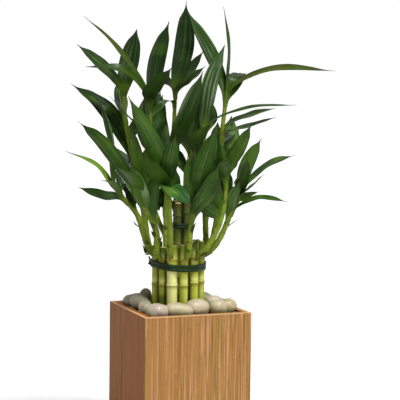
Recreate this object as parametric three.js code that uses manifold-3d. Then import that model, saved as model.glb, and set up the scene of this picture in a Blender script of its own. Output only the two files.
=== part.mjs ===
// A lucky bamboo arrangement: sixteen cut canes with their leafy shoots, tied in two tiers,
// standing in pebbles in a tall square planter of laminated bamboo.
// Millimetres, +Z up. The origin is the centre of the planter's underside, the front is -Y.

import * as THREE from 'three';
import { mergeVertices } from 'three/addons/utils/BufferGeometryUtils.js';
import Module from 'manifold-3d';

const wasm = await Module();
wasm.setup();

// Driving dimensions of the planter
const planterSide = 125;
const planterHeight = 170;
const wallThickness = 8;
const floorThickness = 6;
const fitGap = 0.3; // clearance between pieces that touch

// Waterproof liner inside the planter
const linerWall = 1.25;
const linerBelowRim = 12;

// Pebble bed: packed gravel with a low mound round the canes and loose pebbles on top
const bedBelowRim = 1;
const moundHeight = 5; // above the rim
const moundRadius = 34;
const moundSides = 16;
const pebblePitch = 22;
const pebbleShift = 5; // most that a pebble lies off its place in the rows
const pebbleHalf = 8; // half width of the smallest pebble in the rows
const pebbleSpread = 2.5;
const pebbleFlatness = 0.72; // height of a pebble as a share of its width
const pebbleLowest = 1; // lowest middle of a pebble in the rows, over the rim
const pebbleLift = 3; // most that another one lies above it
const clearShare = 0.75; // part of its half width that a pebble keeps off the canes
const touchShare = 0.42; // how close rows come to a chosen pebble, by its half sizes
const skirtReach = 10; // how far the mound's foot spreads out
const moundShoulder = 6;
const moundDrop = 2; // fall of the mound over its shoulder

// The plant has its own frame: x across the front view, y away from the viewer,
// z up from the planter's rim. It stands turned in its planter.
const plantTurn = THREE.MathUtils.degToRad(-21.6);
const outerCentre = [-1.5, 0];
const innerCentre = [1.3, 0];
const outerCircle = 30.4; // circle that the outer canes touch from inside
const innerCircle = 10.5;
const caneDepth = 95; // below the rim
const caneSides = 8;
const nodeSwell = 0.8; // height of the ring at each joint of a cane
const nodeBelow = 1.8; // reach of the ring below its joint
const nodeAbove = 1.2;
const cutBevel = 0.6; // round a cane's cut top

// Leaf blades and stems
const bladeThickness = 0.8;
const bladeFold = 0.26; // rise of a blade's edges over its rib, as a share of its half width
const bladeNeck = 1.1; // half width where a blade leaves its stem
const neckShare = 0.12; // share of a blade's length over which it leaves the stem's direction
const highestRoot = 0.985; // as a share of the stem's length
const bladeStations = [0, 0.13, 0.32, 0.54, 0.78, 1];
const smallBladeStations = [0, 0.16, 0.44, 0.74, 1]; // for blades narrower than smallBlade
const smallBlade = 20;
const widestAt = 0.46; // share of the length at which a blade is widest
const rootPower = 0.9;
const tipPower = 0.85;
const stemSides = 5;
const stemStep = 18; // length of stem between two of its sections
const stemTipShare = 0.62; // radius at a stem's top as a share of its full radius
const stemFootShare = 0.5; // the same where the stem leaves its cane
const outerFoot = 57; // height at which a stem leaves an outer cane, at its upper joint
const innerFoot = 106;

// Outer canes in a ring: angle from the front, radius, cut height, how far in from the circle
const outerCanes = [
  { angle: -75, radius: 4.0, top: 71, inset: 0 },
  { angle: -45, radius: 3.8, top: 70, inset: 2 },
  { angle: -15, radius: 6.0, top: 73, inset: 0 },
  { angle: 15, radius: 4.6, top: 74, inset: 0 },
  { angle: 45, radius: 4.8, top: 77, inset: 0 },
  { angle: 75, radius: 3.8, top: 76, inset: 0 },
  { angle: 102, radius: 4.4, top: 72, inset: 0 },
  { angle: 128, radius: 4.8, top: 75, inset: 0 },
  { angle: 154, radius: 4.2, top: 73, inset: 0 },
  { angle: 182, radius: 5.0, top: 74, inset: 0 },
  { angle: 211, radius: 4.4, top: 71, inset: 0 },
  { angle: 240, radius: 4.2, top: 73, inset: 0 },
];
const outerJoints = [29, 58];

// Inner canes, taller, in a tight square
const innerCanes = [
  { angle: -33, radius: 3.7, top: 119, inset: 0 },
  { angle: 57, radius: 3.7, top: 122, inset: 0 },
  { angle: 147, radius: 3.9, top: 120, inset: 0 },
  { angle: 237, radius: 3.6, top: 121, inset: 0 },
];
const innerJoints = [36, 70, 106];

// Each shoot grows from a joint of its cane. The stem runs through its points. A leaf leaves
// the stem at a share of its length, passes a point midway and ends at its tip. Then come its
// width, the compass direction in the plant's frame in which its width lies, and for some the
// angle at which that direction rises.
const shoots = [
  {
    name: 'shoot_left_low', cane: outerCanes[0], radius: 4.0,
    stem: [[-32, -8, 62], [-37, -13, 74], [-41, -14, 86], [-45, -14, 99], [-50, -14, 109],
      [-57, -14, 117], [-65, -14, 125]],
    leaves: [
      [1.00, [-93, -20, 160], [-128, -26, 177], 11, 60],
      [0.87, [-87, 6, 125], [-117, 20, 133], 13, 80, 42],
      [1.00, [-79, -14, 187], [-92, -24, 238], 13, 60],
      [0.96, [-67, 14, 140], [-81, 50, 154], 13, 10],
      [0.92, [-75, -40, 142], [-86, -66, 148], 14, 150],
      [0.72, [-56, 4, 129], [-73, 14, 152], 16, 15],
    ],
  },
  {
    name: 'shoot_left_mid', cane: outerCanes[1], radius: 4.2,
    stem: [[-25, -24, 62], [-25, -28, 78], [-27, -30, 92], [-33, -32, 105], [-39, -33, 116],
      [-44, -34, 127]],
    leaves: [
      [0.99, [-83, -56, 186], [-109, -84, 212], 16, 10],
      [0.96, [-46, -54, 169], [-54, -66, 208], 14, 20],
      [0.86, [-50, -70, 149], [-65, -104, 164], 17, 160],
      [0.99, [-37, -48, 156], [-36, -56, 189], 18, 170],
      [0.92, [-52, -10, 133], [-64, 4, 148], 14, 20],
      [0.68, [-43, -46, 132], [-53, -54, 165], 18, 10],
      [0.55, [-32, -38, 125], [-24, -46, 154], 16, 170],
    ],
  },
  {
    name: 'shoot_left_tall', cane: outerCanes[11], radius: 3.8,
    stem: [[-33, 10, 63], [-38, 12, 79], [-41, 12, 103], [-46, 12, 128], [-53, 12, 159], [-59, 10, 188],
      [-64, 8, 217], [-65, 6, 237]],
    leaves: [
      [1.00, [-59, 20, 282], [-52, 28, 314], 22, 5],
      [1.00, [-87, 2, 269], [-117, -8, 295], 15, 35],
      [0.59, [-87, 22, 222], [-128, 40, 251], 22, 20],
      [0.84, [-70, 40, 233], [-76, 72, 258], 15, 150],
      [0.69, [-47, 40, 210], [-38, 66, 243], 17, 20],
      [0.46, [-67, 60, 163], [-84, 95, 179], 16, 30],
      [0.36, [-54, 34, 146], [-62, 56, 165], 15, 20],
      [0.26, [-46, 24, 151], [-54, 34, 181], 15, 10],
    ],
  },
  {
    name: 'shoot_left_inner', cane: outerCanes[10], radius: 3.2,
    stem: [[-14, 14, 66], [-17, 11, 80], [-25, 9, 97], [-31, 6, 117], [-35, 2, 142], [-36, -2, 167],
      [-35, -4, 195], [-34, -6, 225]],
    leaves: [
      [0.97, [-75, -22, 295], [-107, -30, 325], 11, 60],
      [1.00, [-64, -42, 267], [-104, -46, 270], 13, 80, 38],
      [1.00, [-28, 8, 279], [-15, 16, 323], 19, 5],
      [1.00, [-32, -30, 243], [-10, -52, 270], 21, 20],
      [0.75, [-62, -10, 218], [-81, 2, 238], 8, 80],
      [0.71, [-26, 10, 208], [-22, 22, 240], 15, 10],
      [0.50, [-29, -22, 168], [-34, -26, 201], 19, 10],
      [0.36, [-21, 7, 114], [-18, 8, 144], 14, 10],
    ],
  },
  {
    name: 'shoot_front_left', cane: outerCanes[2], radius: 3.8,
    stem: [[-10, -31, 63], [-10, -35, 80], [-11, -36, 101], [-12, -37, 121], [-13, -38, 136]],
    leaves: [
      [1.00, [-26, -62, 183], [-56, -76, 239], 19, 20],
      [1.00, [-11, -56, 165], [-5, -60, 198], 17, 0],
      [0.93, [-10, -62, 140], [13, -86, 122], 25, 15],
      [0.88, [-25, -66, 153], [-35, -98, 174], 20, 10],
    ],
  },
  {
    name: 'shoot_centre_tall', cane: outerCanes[1], radius: 3.2,
    stem: [[-16, -10, 64], [-16, -3, 82], [-16, 0, 100], [-16, 0, 116], [-14, 0, 144], [-10, 0, 178],
      [-8, 0, 212], [-7, 0, 241]],
    leaves: [
      [1.00, [2, 10, 293], [4, 18, 346], 22, 5],
      [0.99, [6, 22, 266], [24, 36, 290], 14, 40],
      [0.97, [8, -16, 255], [27, -20, 273], 15, 45],
      [0.98, [-15, 30, 252], [-26, 56, 267], 14, 20],
      [0.92, [-20, -22, 231], [-33, -42, 214], 14, 150],
      [0.59, [8, -22, 222], [24, -34, 267], 20, 10],
      [0.52, [-20, 20, 197], [-18, 34, 218], 13, 20],
      [0.40, [-11, 6, 126], [-5, 10, 157], 15, 10],
    ],
  },
  {
    name: 'shoot_front_right', cane: outerCanes[3], radius: 3.7,
    stem: [[9, -31, 61], [11, -33, 74], [12, -34, 87], [13, -35, 100], [15, -36, 113]],
    leaves: [
      [0.96, [24, -64, 158], [39, -80, 208], 23, 0],
      [0.92, [11, -54, 142], [8, -58, 175], 14, 30],
      [0.80, [28, -56, 131], [42, -72, 165], 19, 15],
      [0.95, [19, -44, 150], [15, -48, 181], 18, 0],
      [0.74, [26, -50, 122], [45, -62, 151], 19, 15],
      [0.88, [20, -46, 137], [24, -50, 181], 20, 0],
    ],
  },
  {
    name: 'shoot_right_inner', cane: outerCanes[7], radius: 3.5,
    stem: [[24, 19, 60], [29, 16, 71], [29, 12, 89], [28, 8, 116], [26, 4, 144], [25, 0, 173],
      [25, -2, 194]],
    leaves: [
      [0.99, [33, -8, 257], [48, 4, 297], 18, 5],
      [0.99, [75, -24, 227], [127, -34, 231], 8, 80, 25],
      [0.72, [15, -32, 188], [35, -50, 211], 18, 140],
      [0.76, [38, 30, 183], [42, 58, 209], 16, 10],
      [0.56, [40, 40, 156], [59, 76, 175], 16, 30],
      [0.96, [34, 24, 214], [30, 50, 236], 14, 20],
      [0.40, [36, 26, 125], [48, 56, 139], 15, 30],
      [0.30, [32, 24, 131], [41, 40, 167], 15, 10],
      [0.42, [21, 12, 118], [15, 6, 153], 17, 10],
    ],
  },
  {
    name: 'shoot_right_tall', cane: outerCanes[6], radius: 3.6,
    stem: [[31, 5, 62], [38, 6, 81], [41, 6, 97], [44, 4, 122], [45, 2, 150], [45, 2, 179],
      [47, 2, 207], [50, 2, 235]],
    leaves: [
      [0.99, [54, 6, 297], [46, 10, 340], 11, 70],
      [0.98, [61, 8, 259], [67, 40, 266], 19, 0],
      [0.98, [100, -6, 270], [171, -14, 269], 11, 85, 38],
      [0.96, [36, 5, 282], [6, -6, 333], 16, 20],
      [0.79, [79, -10, 219], [105, -18, 227], 13, 80, 30],
      [0.74, [78, 14, 206], [108, 26, 216], 10, 80, 25],
      [0.67, [56, 44, 196], [58, 78, 216], 14, 20],
      [0.58, [58, 34, 184], [66, 58, 204], 14, 30],
      [0.42, [46, 12, 124], [56, 13, 156], 17, 10],
    ],
  },
  {
    name: 'shoot_right_mid', cane: outerCanes[4], radius: 3.6,
    stem: [[22, -24, 62], [30, -26, 70], [37, -26, 82], [44, -26, 97], [48, -26, 113], [50, -26, 130],
      [51, -26, 147]],
    leaves: [
      [0.99, [64, -38, 181], [77, -50, 209], 15, 0],
      [0.98, [46, -46, 170], [42, -58, 192], 12, 10],
      [0.90, [48, -56, 160], [45, -88, 172], 16, 30],
      [0.96, [56, 0, 159], [63, 40, 168], 13, 20],
      [0.84, [41, -10, 146], [36, -14, 178], 17, 0],
      [0.62, [37, -36, 127], [38, -40, 163], 20, 5],
      [0.50, [29, -32, 118], [23, -38, 147], 17, 10],
    ],
  },
  {
    name: 'shoot_right_low', cane: outerCanes[5], radius: 3.7,
    stem: [[31, -6, 62], [41, -8, 73], [49, -9, 88], [55, -10, 103], [62, -10, 117], [65, -10, 126]],
    leaves: [
      [0.98, [73, -14, 160], [90, -20, 194], 16, 0],
      [0.95, [100, 4, 163], [131, 14, 174], 12, 80, 35],
      [0.73, [88, -12, 126], [120, -22, 123], 10, 80, 30],
      [0.87, [76, 8, 127], [89, 16, 131], 10, 80, 30],
      [0.98, [68, 24, 139], [76, 60, 151], 14, 10],
      [0.90, [70, -30, 150], [74, -50, 173], 14, 0],
      [0.93, [80, -26, 140], [93, -34, 155], 12, 70, 20],
      [0.62, [58, -22, 123], [67, -30, 147], 15, 20],
    ],
  },
  {
    name: 'shoot_back_left', cane: outerCanes[9], radius: 3.6,
    stem: [[-6, 32, 62], [-11, 33, 77], [-17, 35, 98], [-19, 38, 121], [-22, 41, 144], [-25, 44, 167],
      [-26, 46, 187]],
    leaves: [
      [0.99, [-28, 66, 219], [-41, 92, 252], 18, 10],
      [0.78, [-35, 80, 174], [-39, 122, 184], 17, 10],
      [0.60, [-37, 66, 149], [-53, 104, 146], 16, 30],
      [0.48, [-18, 76, 132], [-29, 120, 136], 16, 10],
    ],
  },
  {
    name: 'shoot_back_right', cane: outerCanes[8], radius: 3.6,
    stem: [[7, 32, 62], [10, 33, 77], [13, 35, 98], [15, 38, 121], [16, 41, 144], [17, 44, 167],
      [17, 46, 183]],
    leaves: [
      [0.99, [21, 64, 215], [30, 84, 250], 17, 0],
      [0.76, [31, 76, 168], [41, 118, 173], 16, 170],
      [0.62, [36, 62, 143], [53, 100, 143], 16, 150],
      [0.48, [22, 78, 130], [32, 124, 129], 16, 175],
    ],
  },
  {
    name: 'shoot_inner_right', cane: innerCanes[2], radius: 2.4,
    stem: [[8, 11, 113], [9, 13, 130], [11, 14, 146], [11, 16, 166], [12, 18, 187]],
    leaves: [
      [0.98, [18, 24, 221], [22, 22, 253], 17, 0],
      [0.72, [3, 40, 188], [-1, 68, 213], 15, 20],
      [0.43, [1, 26, 160], [-6, 42, 180], 14, 20],
      [0.98, [7, 44, 216], [15, 64, 243], 15, 170],
    ],
  },
  {
    name: 'shoot_inner_left', cane: innerCanes[3], radius: 2.4,
    stem: [[-9, 7, 114], [-14, 12, 127], [-20, 18, 143], [-24, 22, 161], [-27, 24, 181]],
    leaves: [
      [0.99, [-36, 22, 216], [-41, 28, 247], 16, 20],
      [0.72, [-41, 34, 181], [-51, 54, 201], 14, 40],
      [0.99, [-30, 42, 213], [-26, 72, 243], 15, 0],
      [0.47, [-11, 46, 164], [-7, 76, 191], 15, 0],
      [0.30, [-33, 34, 151], [-41, 46, 184], 14, 0],
    ],
  },
];

// Ties: height at the middle, slopes to the right and to the back, strand size, and the
// angles at which a strand bears on each cane, counted from the cane's own angle
const outerTie = { height: 49.4, slopes: [-0.045, 0.05], strandHeight: 3.9, strandThickness: 1.6,
  strands: 2, bearing: [-9, 9] };
const innerTie = { height: 93, slopes: [0, 0], strandHeight: 3.0, strandThickness: 1.6,
  strands: 2, bearing: [-40, -14, 14, 40] };

// Pebbles that show at the front and left: place of the middle in the plant's frame,
// half length, half width, half height, and the direction of the length
const chosenPebbles = [
  [-50, 13, 4, 16, 10, 9, 150],
  [-40, 23, 8, 7, 6, 10, 0],
  [-44, -8, 5, 15, 9, 8, 130],
  [-36, -38, 4, 10, 8, 8, 110],
  [-22, -52, 3, 14, 11, 8.5, 10],
  [2, -47, 4, 17, 9, 8, 20],
  [21, -37, 6, 14, 11, 9, 35],
  [38, -14, 7, 10, 9, 9, 20],
  [44, -28, 5, 12, 10.5, 9, 70],
  [55.5, -21, 5, 11, 9, 8, 60],
];

// Closes a skin over a row of sections, each with the same number of points counted
// anticlockwise about the direction of travel. From the side flipFrom on, the diagonals
// run the other way, which keeps the two faces of a thin blade parallel.
function skinOver(sections, { closed = false, flipFrom = Infinity } = {}) {
  const sides = sections[0].length;
  const positions = sections.flat().flatMap((p) => [p.x, p.y, p.z]);
  const index = [];
  const spans = closed ? sections.length : sections.length - 1;
  for (let i = 0; i < spans; i++) {
    const next = (i + 1) % sections.length;
    for (let j = 0; j < sides; j++) {
      const a = i * sides + j;
      const b = i * sides + ((j + 1) % sides);
      const c = next * sides + ((j + 1) % sides);
      const d = next * sides + j;
      if (j < flipFrom) index.push(a, b, c, a, c, d);
      else index.push(a, b, d, b, c, d);
    }
  }
  if (!closed) {
    const last = (sections.length - 1) * sides;
    for (let j = 1; j < sides - 1; j++) {
      index.push(0, j + 1, j);
      index.push(last, last + j, last + j + 1);
    }
  }
  const geometry = new THREE.BufferGeometry();
  geometry.setAttribute('position', new THREE.Float32BufferAttribute(positions, 3));
  geometry.setIndex(index);
  return geometry;
}

// A closed surface as a solid for joining and cutting
function toSolid(geometry) {
  const bare = geometry.clone();
  bare.deleteAttribute('normal');
  bare.deleteAttribute('uv');
  const merged = mergeVertices(bare, 1e-4);
  return new wasm.Manifold(new wasm.Mesh({
    numProp: 3,
    vertProperties: new Float32Array(merged.attributes.position.array),
    triVerts: new Uint32Array(merged.index.array),
  }));
}

// The largest body of a solid, without loose scraps, and with sealed hollows filled
function wholeBody(solid) {
  const bodies = solid.decompose();
  return bodies.reduce((best, body) => (body.volume() > best.volume() ? body : best));
}

function toGeometry(solid) {
  const { vertProperties, triVerts } = solid.getMesh();
  const geometry = new THREE.BufferGeometry();
  geometry.setAttribute('position', new THREE.BufferAttribute(vertProperties, 3));
  geometry.setIndex(new THREE.BufferAttribute(triVerts, 1));
  geometry.computeVertexNormals();
  return geometry;
}

// Repeatable stand-in for chance: the same number between 0 and 1 for the same n
function chance(n) {
  const s = Math.sin(n * 12.9898 + 4.1) * 43758.5453;
  return s - Math.floor(s);
}

const finish = (color, roughness) => new THREE.MeshStandardMaterial({ color, roughness, metalness: 0 });
const materials = {
  wood: finish(0xb98c58, 0.55),
  liner: finish(0x2a2a28, 0.6),
  pebble: finish(0xcfc3a8, 0.5),
  cane: finish(0xa9b25c, 0.4),
  leaf: finish(0x35602a, 0.4),
  tie: finish(0x1c3422, 0.45),
};

const lucky = new THREE.Group();
const plant = new THREE.Group();
plant.rotation.z = plantTurn;
plant.position.z = planterHeight;
lucky.add(plant);

function addPiece(parent, name, geometry, material) {
  const mesh = new THREE.Mesh(geometry, material);
  mesh.name = name;
  parent.add(mesh);
  return mesh;
}

// Planter: four mitred wall panels round a floor panel
function wallGeometry(quarterTurns) {
  const outside = planterSide / 2;
  const inside = outside - wallThickness;
  let corners = [[-outside, -outside], [outside, -outside], [inside, -inside], [-inside, -inside]];
  for (let i = 0; i < quarterTurns; i++) corners = corners.map(([x, y]) => [-y, x]);
  const outline = new THREE.Shape(corners.map(([x, y]) => new THREE.Vector2(x, y)));
  return new THREE.ExtrudeGeometry(outline, { depth: planterHeight, bevelEnabled: false });
}

['front', 'right', 'back', 'left'].forEach((side, i) => {
  addPiece(lucky, `planter_wall_${side}`, wallGeometry(i), materials.wood);
});

function boxBetween(width, bottom, top) {
  const box = new THREE.BoxGeometry(width, width, top - bottom);
  box.translate(0, 0, (bottom + top) / 2);
  return box;
}

const floorWidth = planterSide - 2 * wallThickness;
addPiece(lucky, 'planter_floor', boxBetween(floorWidth, 0, floorThickness), materials.wood);

const linerWidth = floorWidth - 2 * fitGap;
const linerInside = linerWidth - 2 * linerWall;
const linerTop = planterHeight - linerBelowRim;
const bedFoot = floorThickness + linerWall;
const liner = toSolid(boxBetween(linerWidth, floorThickness, linerTop))
  .subtract(toSolid(boxBetween(linerInside, bedFoot, linerTop + 1)));
addPiece(lucky, 'liner', toGeometry(liner), materials.liner);

// Canes: round rods with a swollen ring at each joint
function placeCane(cane, centre, circle) {
  const reach = circle - cane.radius - cane.inset;
  const angle = THREE.MathUtils.degToRad(cane.angle);
  cane.x = centre[0] + reach * Math.sin(angle);
  cane.y = centre[1] - reach * Math.cos(angle);
}
outerCanes.forEach((cane) => placeCane(cane, outerCentre, outerCircle));
innerCanes.forEach((cane) => placeCane(cane, innerCentre, innerCircle));

function caneGeometry(cane, joints) {
  const profile = [[0, -caneDepth], [cane.radius, -caneDepth]];
  for (const joint of joints) {
    profile.push([cane.radius, joint - nodeBelow]);
    profile.push([cane.radius + nodeSwell, joint]);
    profile.push([cane.radius, joint + nodeAbove]);
  }
  profile.push([cane.radius, cane.top - cutBevel]);
  profile.push([cane.radius - cutBevel, cane.top]);
  profile.push([0, cane.top - cutBevel / 2]);
  const lathe = new THREE.LatheGeometry(profile.map(([r, z]) => new THREE.Vector2(r, z)), caneSides);
  lathe.rotateX(Math.PI / 2);
  lathe.translate(cane.x, cane.y, 0);
  return lathe;
}

// A plain rod round a cane, wider by the clearance, from one height to another
function sleeve(cane, bottom, top, clearance) {
  const radius = cane.radius + clearance;
  const rod = new THREE.CylinderGeometry(radius, radius, top - bottom, caneSides);
  rod.rotateX(Math.PI / 2);
  rod.translate(cane.x, cane.y, (bottom + top) / 2);
  return rod;
}

const numbered = (prefix, i) => `${prefix}_${String(i + 1).padStart(2, '0')}`;
function addCanes(prefix, canes, joints) {
  canes.forEach((cane, i) => {
    const rod = toSolid(caneGeometry(cane, joints));
    addPiece(plant, numbered(prefix, i), toGeometry(rod), materials.cane);
  });
}
addCanes('cane_outer', outerCanes, outerJoints);
addCanes('cane_inner', innerCanes, innerJoints);

// Pebble bed, in the planter's frame: the canes' holes are plain and as deep as the canes
const plantPlace = new THREE.Matrix4().makeRotationZ(plantTurn).setPosition(0, 0, planterHeight);
const bedWidth = linerInside - 2 * fitGap;

function pebble([x, y, z, length, width, height, turn]) {
  const stone = new THREE.SphereGeometry(1, 8, 5);
  stone.scale(length, width, height);
  stone.rotateZ(THREE.MathUtils.degToRad(turn));
  stone.translate(x, y, z);
  return stone;
}

// Rows of pebbles fill what the chosen ones leave of the surface, clear of the canes
function rowPebbles() {
  const found = [];
  const count = Math.floor(bedWidth / pebblePitch);
  const turnBack = new THREE.Matrix4().makeRotationZ(-plantTurn);
  for (let row = 0; row <= count; row++) {
    for (let column = 0; column <= count; column++) {
      const n = row * (count + 1) + column;
      const half = pebbleHalf + pebbleSpread * chance(n);
      const limit = bedWidth / 2 - half;
      const placed = (step, seed) => {
        const middle = (step - count / 2) * pebblePitch;
        return THREE.MathUtils.clamp(middle + pebbleShift * (chance(seed) - 0.5), -limit, limit);
      };
      const place = new THREE.Vector3(placed(column, n + 50), placed(row, n + 90), 0).applyMatrix4(turnBack);
      const fromCanes = Math.hypot(place.x - outerCentre[0], place.y) - outerCircle;
      const nearCanes = fromCanes < clearShare * half;
      const nearChosen = chosenPebbles.some(([x, y, , length, width]) => (
        Math.hypot(place.x - x, place.y - y) < touchShare * (length + width) + half / 2
      ));
      if (nearCanes || nearChosen) continue;
      const lift = pebbleLowest + pebbleLift * chance(n + 130);
      const turn = 180 * chance(n + 170);
      found.push([place.x, place.y, lift, half + pebbleSpread, half, pebbleFlatness * half, turn]);
    }
  }
  return found;
}

// A low rise of gravel round the canes, its skirt running down into the bed
function moundGeometry() {
  const skirt = -bedBelowRim - 4;
  const profile = [
    [0, skirt],
    [moundRadius + skirtReach, skirt],
    [moundRadius, moundHeight - moundDrop],
    [moundRadius - moundShoulder, moundHeight],
    [0, moundHeight],
  ];
  const mound = new THREE.LatheGeometry(profile.map(([r, z]) => new THREE.Vector2(r, z)), moundSides);
  mound.rotateX(Math.PI / 2);
  mound.translate(outerCentre[0], outerCentre[1], 0);
  return mound;
}

let bed = toSolid(boxBetween(bedWidth, bedFoot, planterHeight - bedBelowRim));
for (const stone of [moundGeometry(), ...[...chosenPebbles, ...rowPebbles()].map(pebble)]) {
  bed = bed.add(toSolid(stone.applyMatrix4(plantPlace)));
}
const clearOfBed = 30; // a height over the rim that no pebble reaches
for (const cane of [...outerCanes, ...innerCanes]) {
  const hole = sleeve(cane, -caneDepth - fitGap, clearOfBed, fitGap).applyMatrix4(plantPlace);
  bed = bed.subtract(toSolid(hole));
}
const bedSpace = boxBetween(floorWidth - 2 * fitGap, bedFoot, planterHeight + clearOfBed);
addPiece(lucky, 'pebble_bed', toGeometry(wholeBody(bed.intersect(toSolid(bedSpace)))), materials.pebble);

// Leafy shoots
function stemGeometry(curve, radius) {
  const steps = Math.round(curve.getLength() / stemStep);
  const { normals, binormals } = curve.computeFrenetFrames(steps);
  const sections = [];
  for (let i = 0; i <= steps; i++) {
    const centre = curve.getPointAt(i / steps);
    const r = radius * (i === 0 ? stemFootShare : THREE.MathUtils.lerp(1, stemTipShare, i / steps));
    const section = [];
    for (let j = 0; j < stemSides; j++) {
      const turn = (2 * Math.PI * j) / stemSides;
      section.push(centre.clone()
        .addScaledVector(normals[i], r * Math.cos(turn))
        .addScaledVector(binormals[i], r * Math.sin(turn)));
    }
    sections.push(section);
  }
  return skinOver(sections);
}

// Half width of a blade at a share of its length: drawn out to a long point
function halfWidth(share, width) {
  const outline = (share / widestAt) ** rootPower * ((1 - share) / (1 - widestAt)) ** tipPower;
  const neck = bladeNeck * (1 - share) ** 3;
  return Math.max((width / 2) * outline, neck, bladeThickness / 2);
}

// A blade folded along its rib, with its upper face turned up and in towards the plant
function bladeGeometry(stemCurve, [share, viaPoint, tipPoint, width, across, tilt = 0]) {
  const root = stemCurve.getPointAt(Math.min(share, highestRoot));
  const direction = stemCurve.getTangentAt(share);
  const via = new THREE.Vector3(...viaPoint);
  const tip = new THREE.Vector3(...tipPoint);
  const neck = root.clone().addScaledVector(direction, neckShare * root.distanceTo(tip));
  neck.lerp(via, neckShare);
  const rib = new THREE.CatmullRomCurve3([root, neck, via, tip]);
  const compass = THREE.MathUtils.degToRad(across);
  const slant = THREE.MathUtils.degToRad(tilt);
  const side = new THREE.Vector3(Math.cos(compass), Math.sin(compass), Math.tan(slant)).normalize();
  const upAndIn = new THREE.Vector3(-tip.x, -tip.y, 0).normalize().setZ(1);
  if (rib.getTangentAt(widestAt).cross(side).dot(upAndIn) < 0) side.negate();
  const stations = width < smallBlade ? smallBladeStations : bladeStations;
  const sections = stations.map((station) => {
    const centre = rib.getPointAt(station);
    const along = rib.getTangentAt(station);
    const upper = new THREE.Vector3().crossVectors(along, side).normalize();
    const sideways = new THREE.Vector3().crossVectors(upper, along);
    const half = halfWidth(station, width);
    const rise = bladeFold * half;
    const skin = bladeThickness / 2;
    const corner = (s, n) => centre.clone().addScaledVector(sideways, s).addScaledVector(upper, n);
    return [corner(half, rise - skin), corner(half, rise + skin), corner(0, skin),
      corner(-half, rise + skin), corner(-half, rise - skin), corner(0, -skin)];
  });
  return skinOver(sections, { flipFrom: 3 });
}

// The room that a shoot leaves for its cane and for the ring at the joint that it grows from
function caneSpace(cane, joint) {
  const rod = toSolid(sleeve(cane, 0, cane.top + fitGap, fitGap));
  const ring = sleeve(cane, joint - nodeBelow - fitGap, joint + nodeAbove + fitGap, nodeSwell + fitGap);
  return rod.add(toSolid(ring));
}

// A shoot's stem starts inside its cane, and is then cut back to a saddle that clears the cane
for (const { name, cane, radius, stem, leaves } of shoots) {
  const onInner = innerCanes.includes(cane);
  const height = onInner ? innerFoot : outerFoot;
  const foot = new THREE.Vector3(cane.x, cane.y, height);
  const curve = new THREE.CatmullRomCurve3([foot, ...stem.map((point) => new THREE.Vector3(...point))]);
  let shoot = toSolid(stemGeometry(curve, radius));
  for (const leaf of leaves) shoot = shoot.add(toSolid(bladeGeometry(curve, leaf)));
  shoot = shoot.subtract(caneSpace(cane, (onInner ? innerJoints : outerJoints).at(-1)));
  addPiece(plant, name, toGeometry(wholeBody(shoot)), materials.leaf);
}

// Outline of a tie's section, outwards and upwards from its middle: a plain back
// and one rounded strand above another in front
function tieSection({ strandHeight, strandThickness, strands }) {
  const half = strandThickness / 2;
  const foot = -(strands * strandHeight) / 2;
  const points = [[-half, foot]];
  for (let k = 0; k < strands; k++) {
    const low = foot + k * strandHeight;
    if (k > 0) points.push([0.4 * half, low]);
    points.push([half, low + 0.25 * strandHeight], [half, low + 0.75 * strandHeight]);
  }
  points.push([-half, -foot]);
  return points;
}

function tieLevel({ height, slopes }, centre, x, y) {
  return height + slopes[0] * (x - centre[0]) + slopes[1] * (y - centre[1]);
}

// Ties: strands drawn tight round the canes
function tieGeometry(tie, canes, centre) {
  const sections = [];
  for (const cane of canes) {
    for (const offset of tie.bearing) {
      const angle = THREE.MathUtils.degToRad(cane.angle + offset);
      const reach = cane.radius + fitGap + tie.strandThickness / 2;
      const x = cane.x + reach * Math.sin(angle);
      const y = cane.y - reach * Math.cos(angle);
      const level = tieLevel(tie, centre, x, y);
      sections.push(tieSection(tie).map(([out, rise]) => (
        new THREE.Vector3(x + out * Math.sin(angle), y - out * Math.cos(angle), level + rise)
      )).reverse());
    }
  }
  return toSolid(skinOver(sections, { closed: true }));
}

// The outer tie is knotted at the left, with two short ends
function knotSolid(tie) {
  const depth = 1.8;
  const radius = 3.6;
  const endLength = 7;
  const endWidths = [0.9, 1.4];
  const endSpread = 1.35; // turn of each end away from upright
  const endLean = 0.25;
  const x = outerCentre[0] - outerCircle - tie.strandThickness / 2;
  const z = tieLevel(tie, outerCentre, x, 0);
  const knot = new THREE.IcosahedronGeometry(1, 1);
  knot.scale(depth, radius, radius);
  knot.translate(x, 0, z);
  let solid = toSolid(knot);
  for (const way of [-1, 1]) {
    const end = new THREE.CylinderGeometry(...endWidths, endLength, 6);
    end.translate(0, endLength / 2, 0);
    end.rotateX(way * endSpread);
    end.rotateY(endLean);
    end.translate(x - 0.4, 0, z + way);
    solid = solid.add(toSolid(end));
  }
  return solid;
}

const outerTieSolid = tieGeometry(outerTie, outerCanes, outerCentre).add(knotSolid(outerTie));
addPiece(plant, 'tie_outer', toGeometry(outerTieSolid), materials.tie);
addPiece(plant, 'tie_inner', toGeometry(tieGeometry(innerTie, innerCanes, innerCentre)), materials.tie);

export default lucky;
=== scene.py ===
# Looks of a tied lucky bamboo arrangement in a tall square bamboo planter, made around the
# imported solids. Metres, +Z up, the planter's front towards -Y.

import math

import bpy
from mathutils import Matrix, Vector


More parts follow.
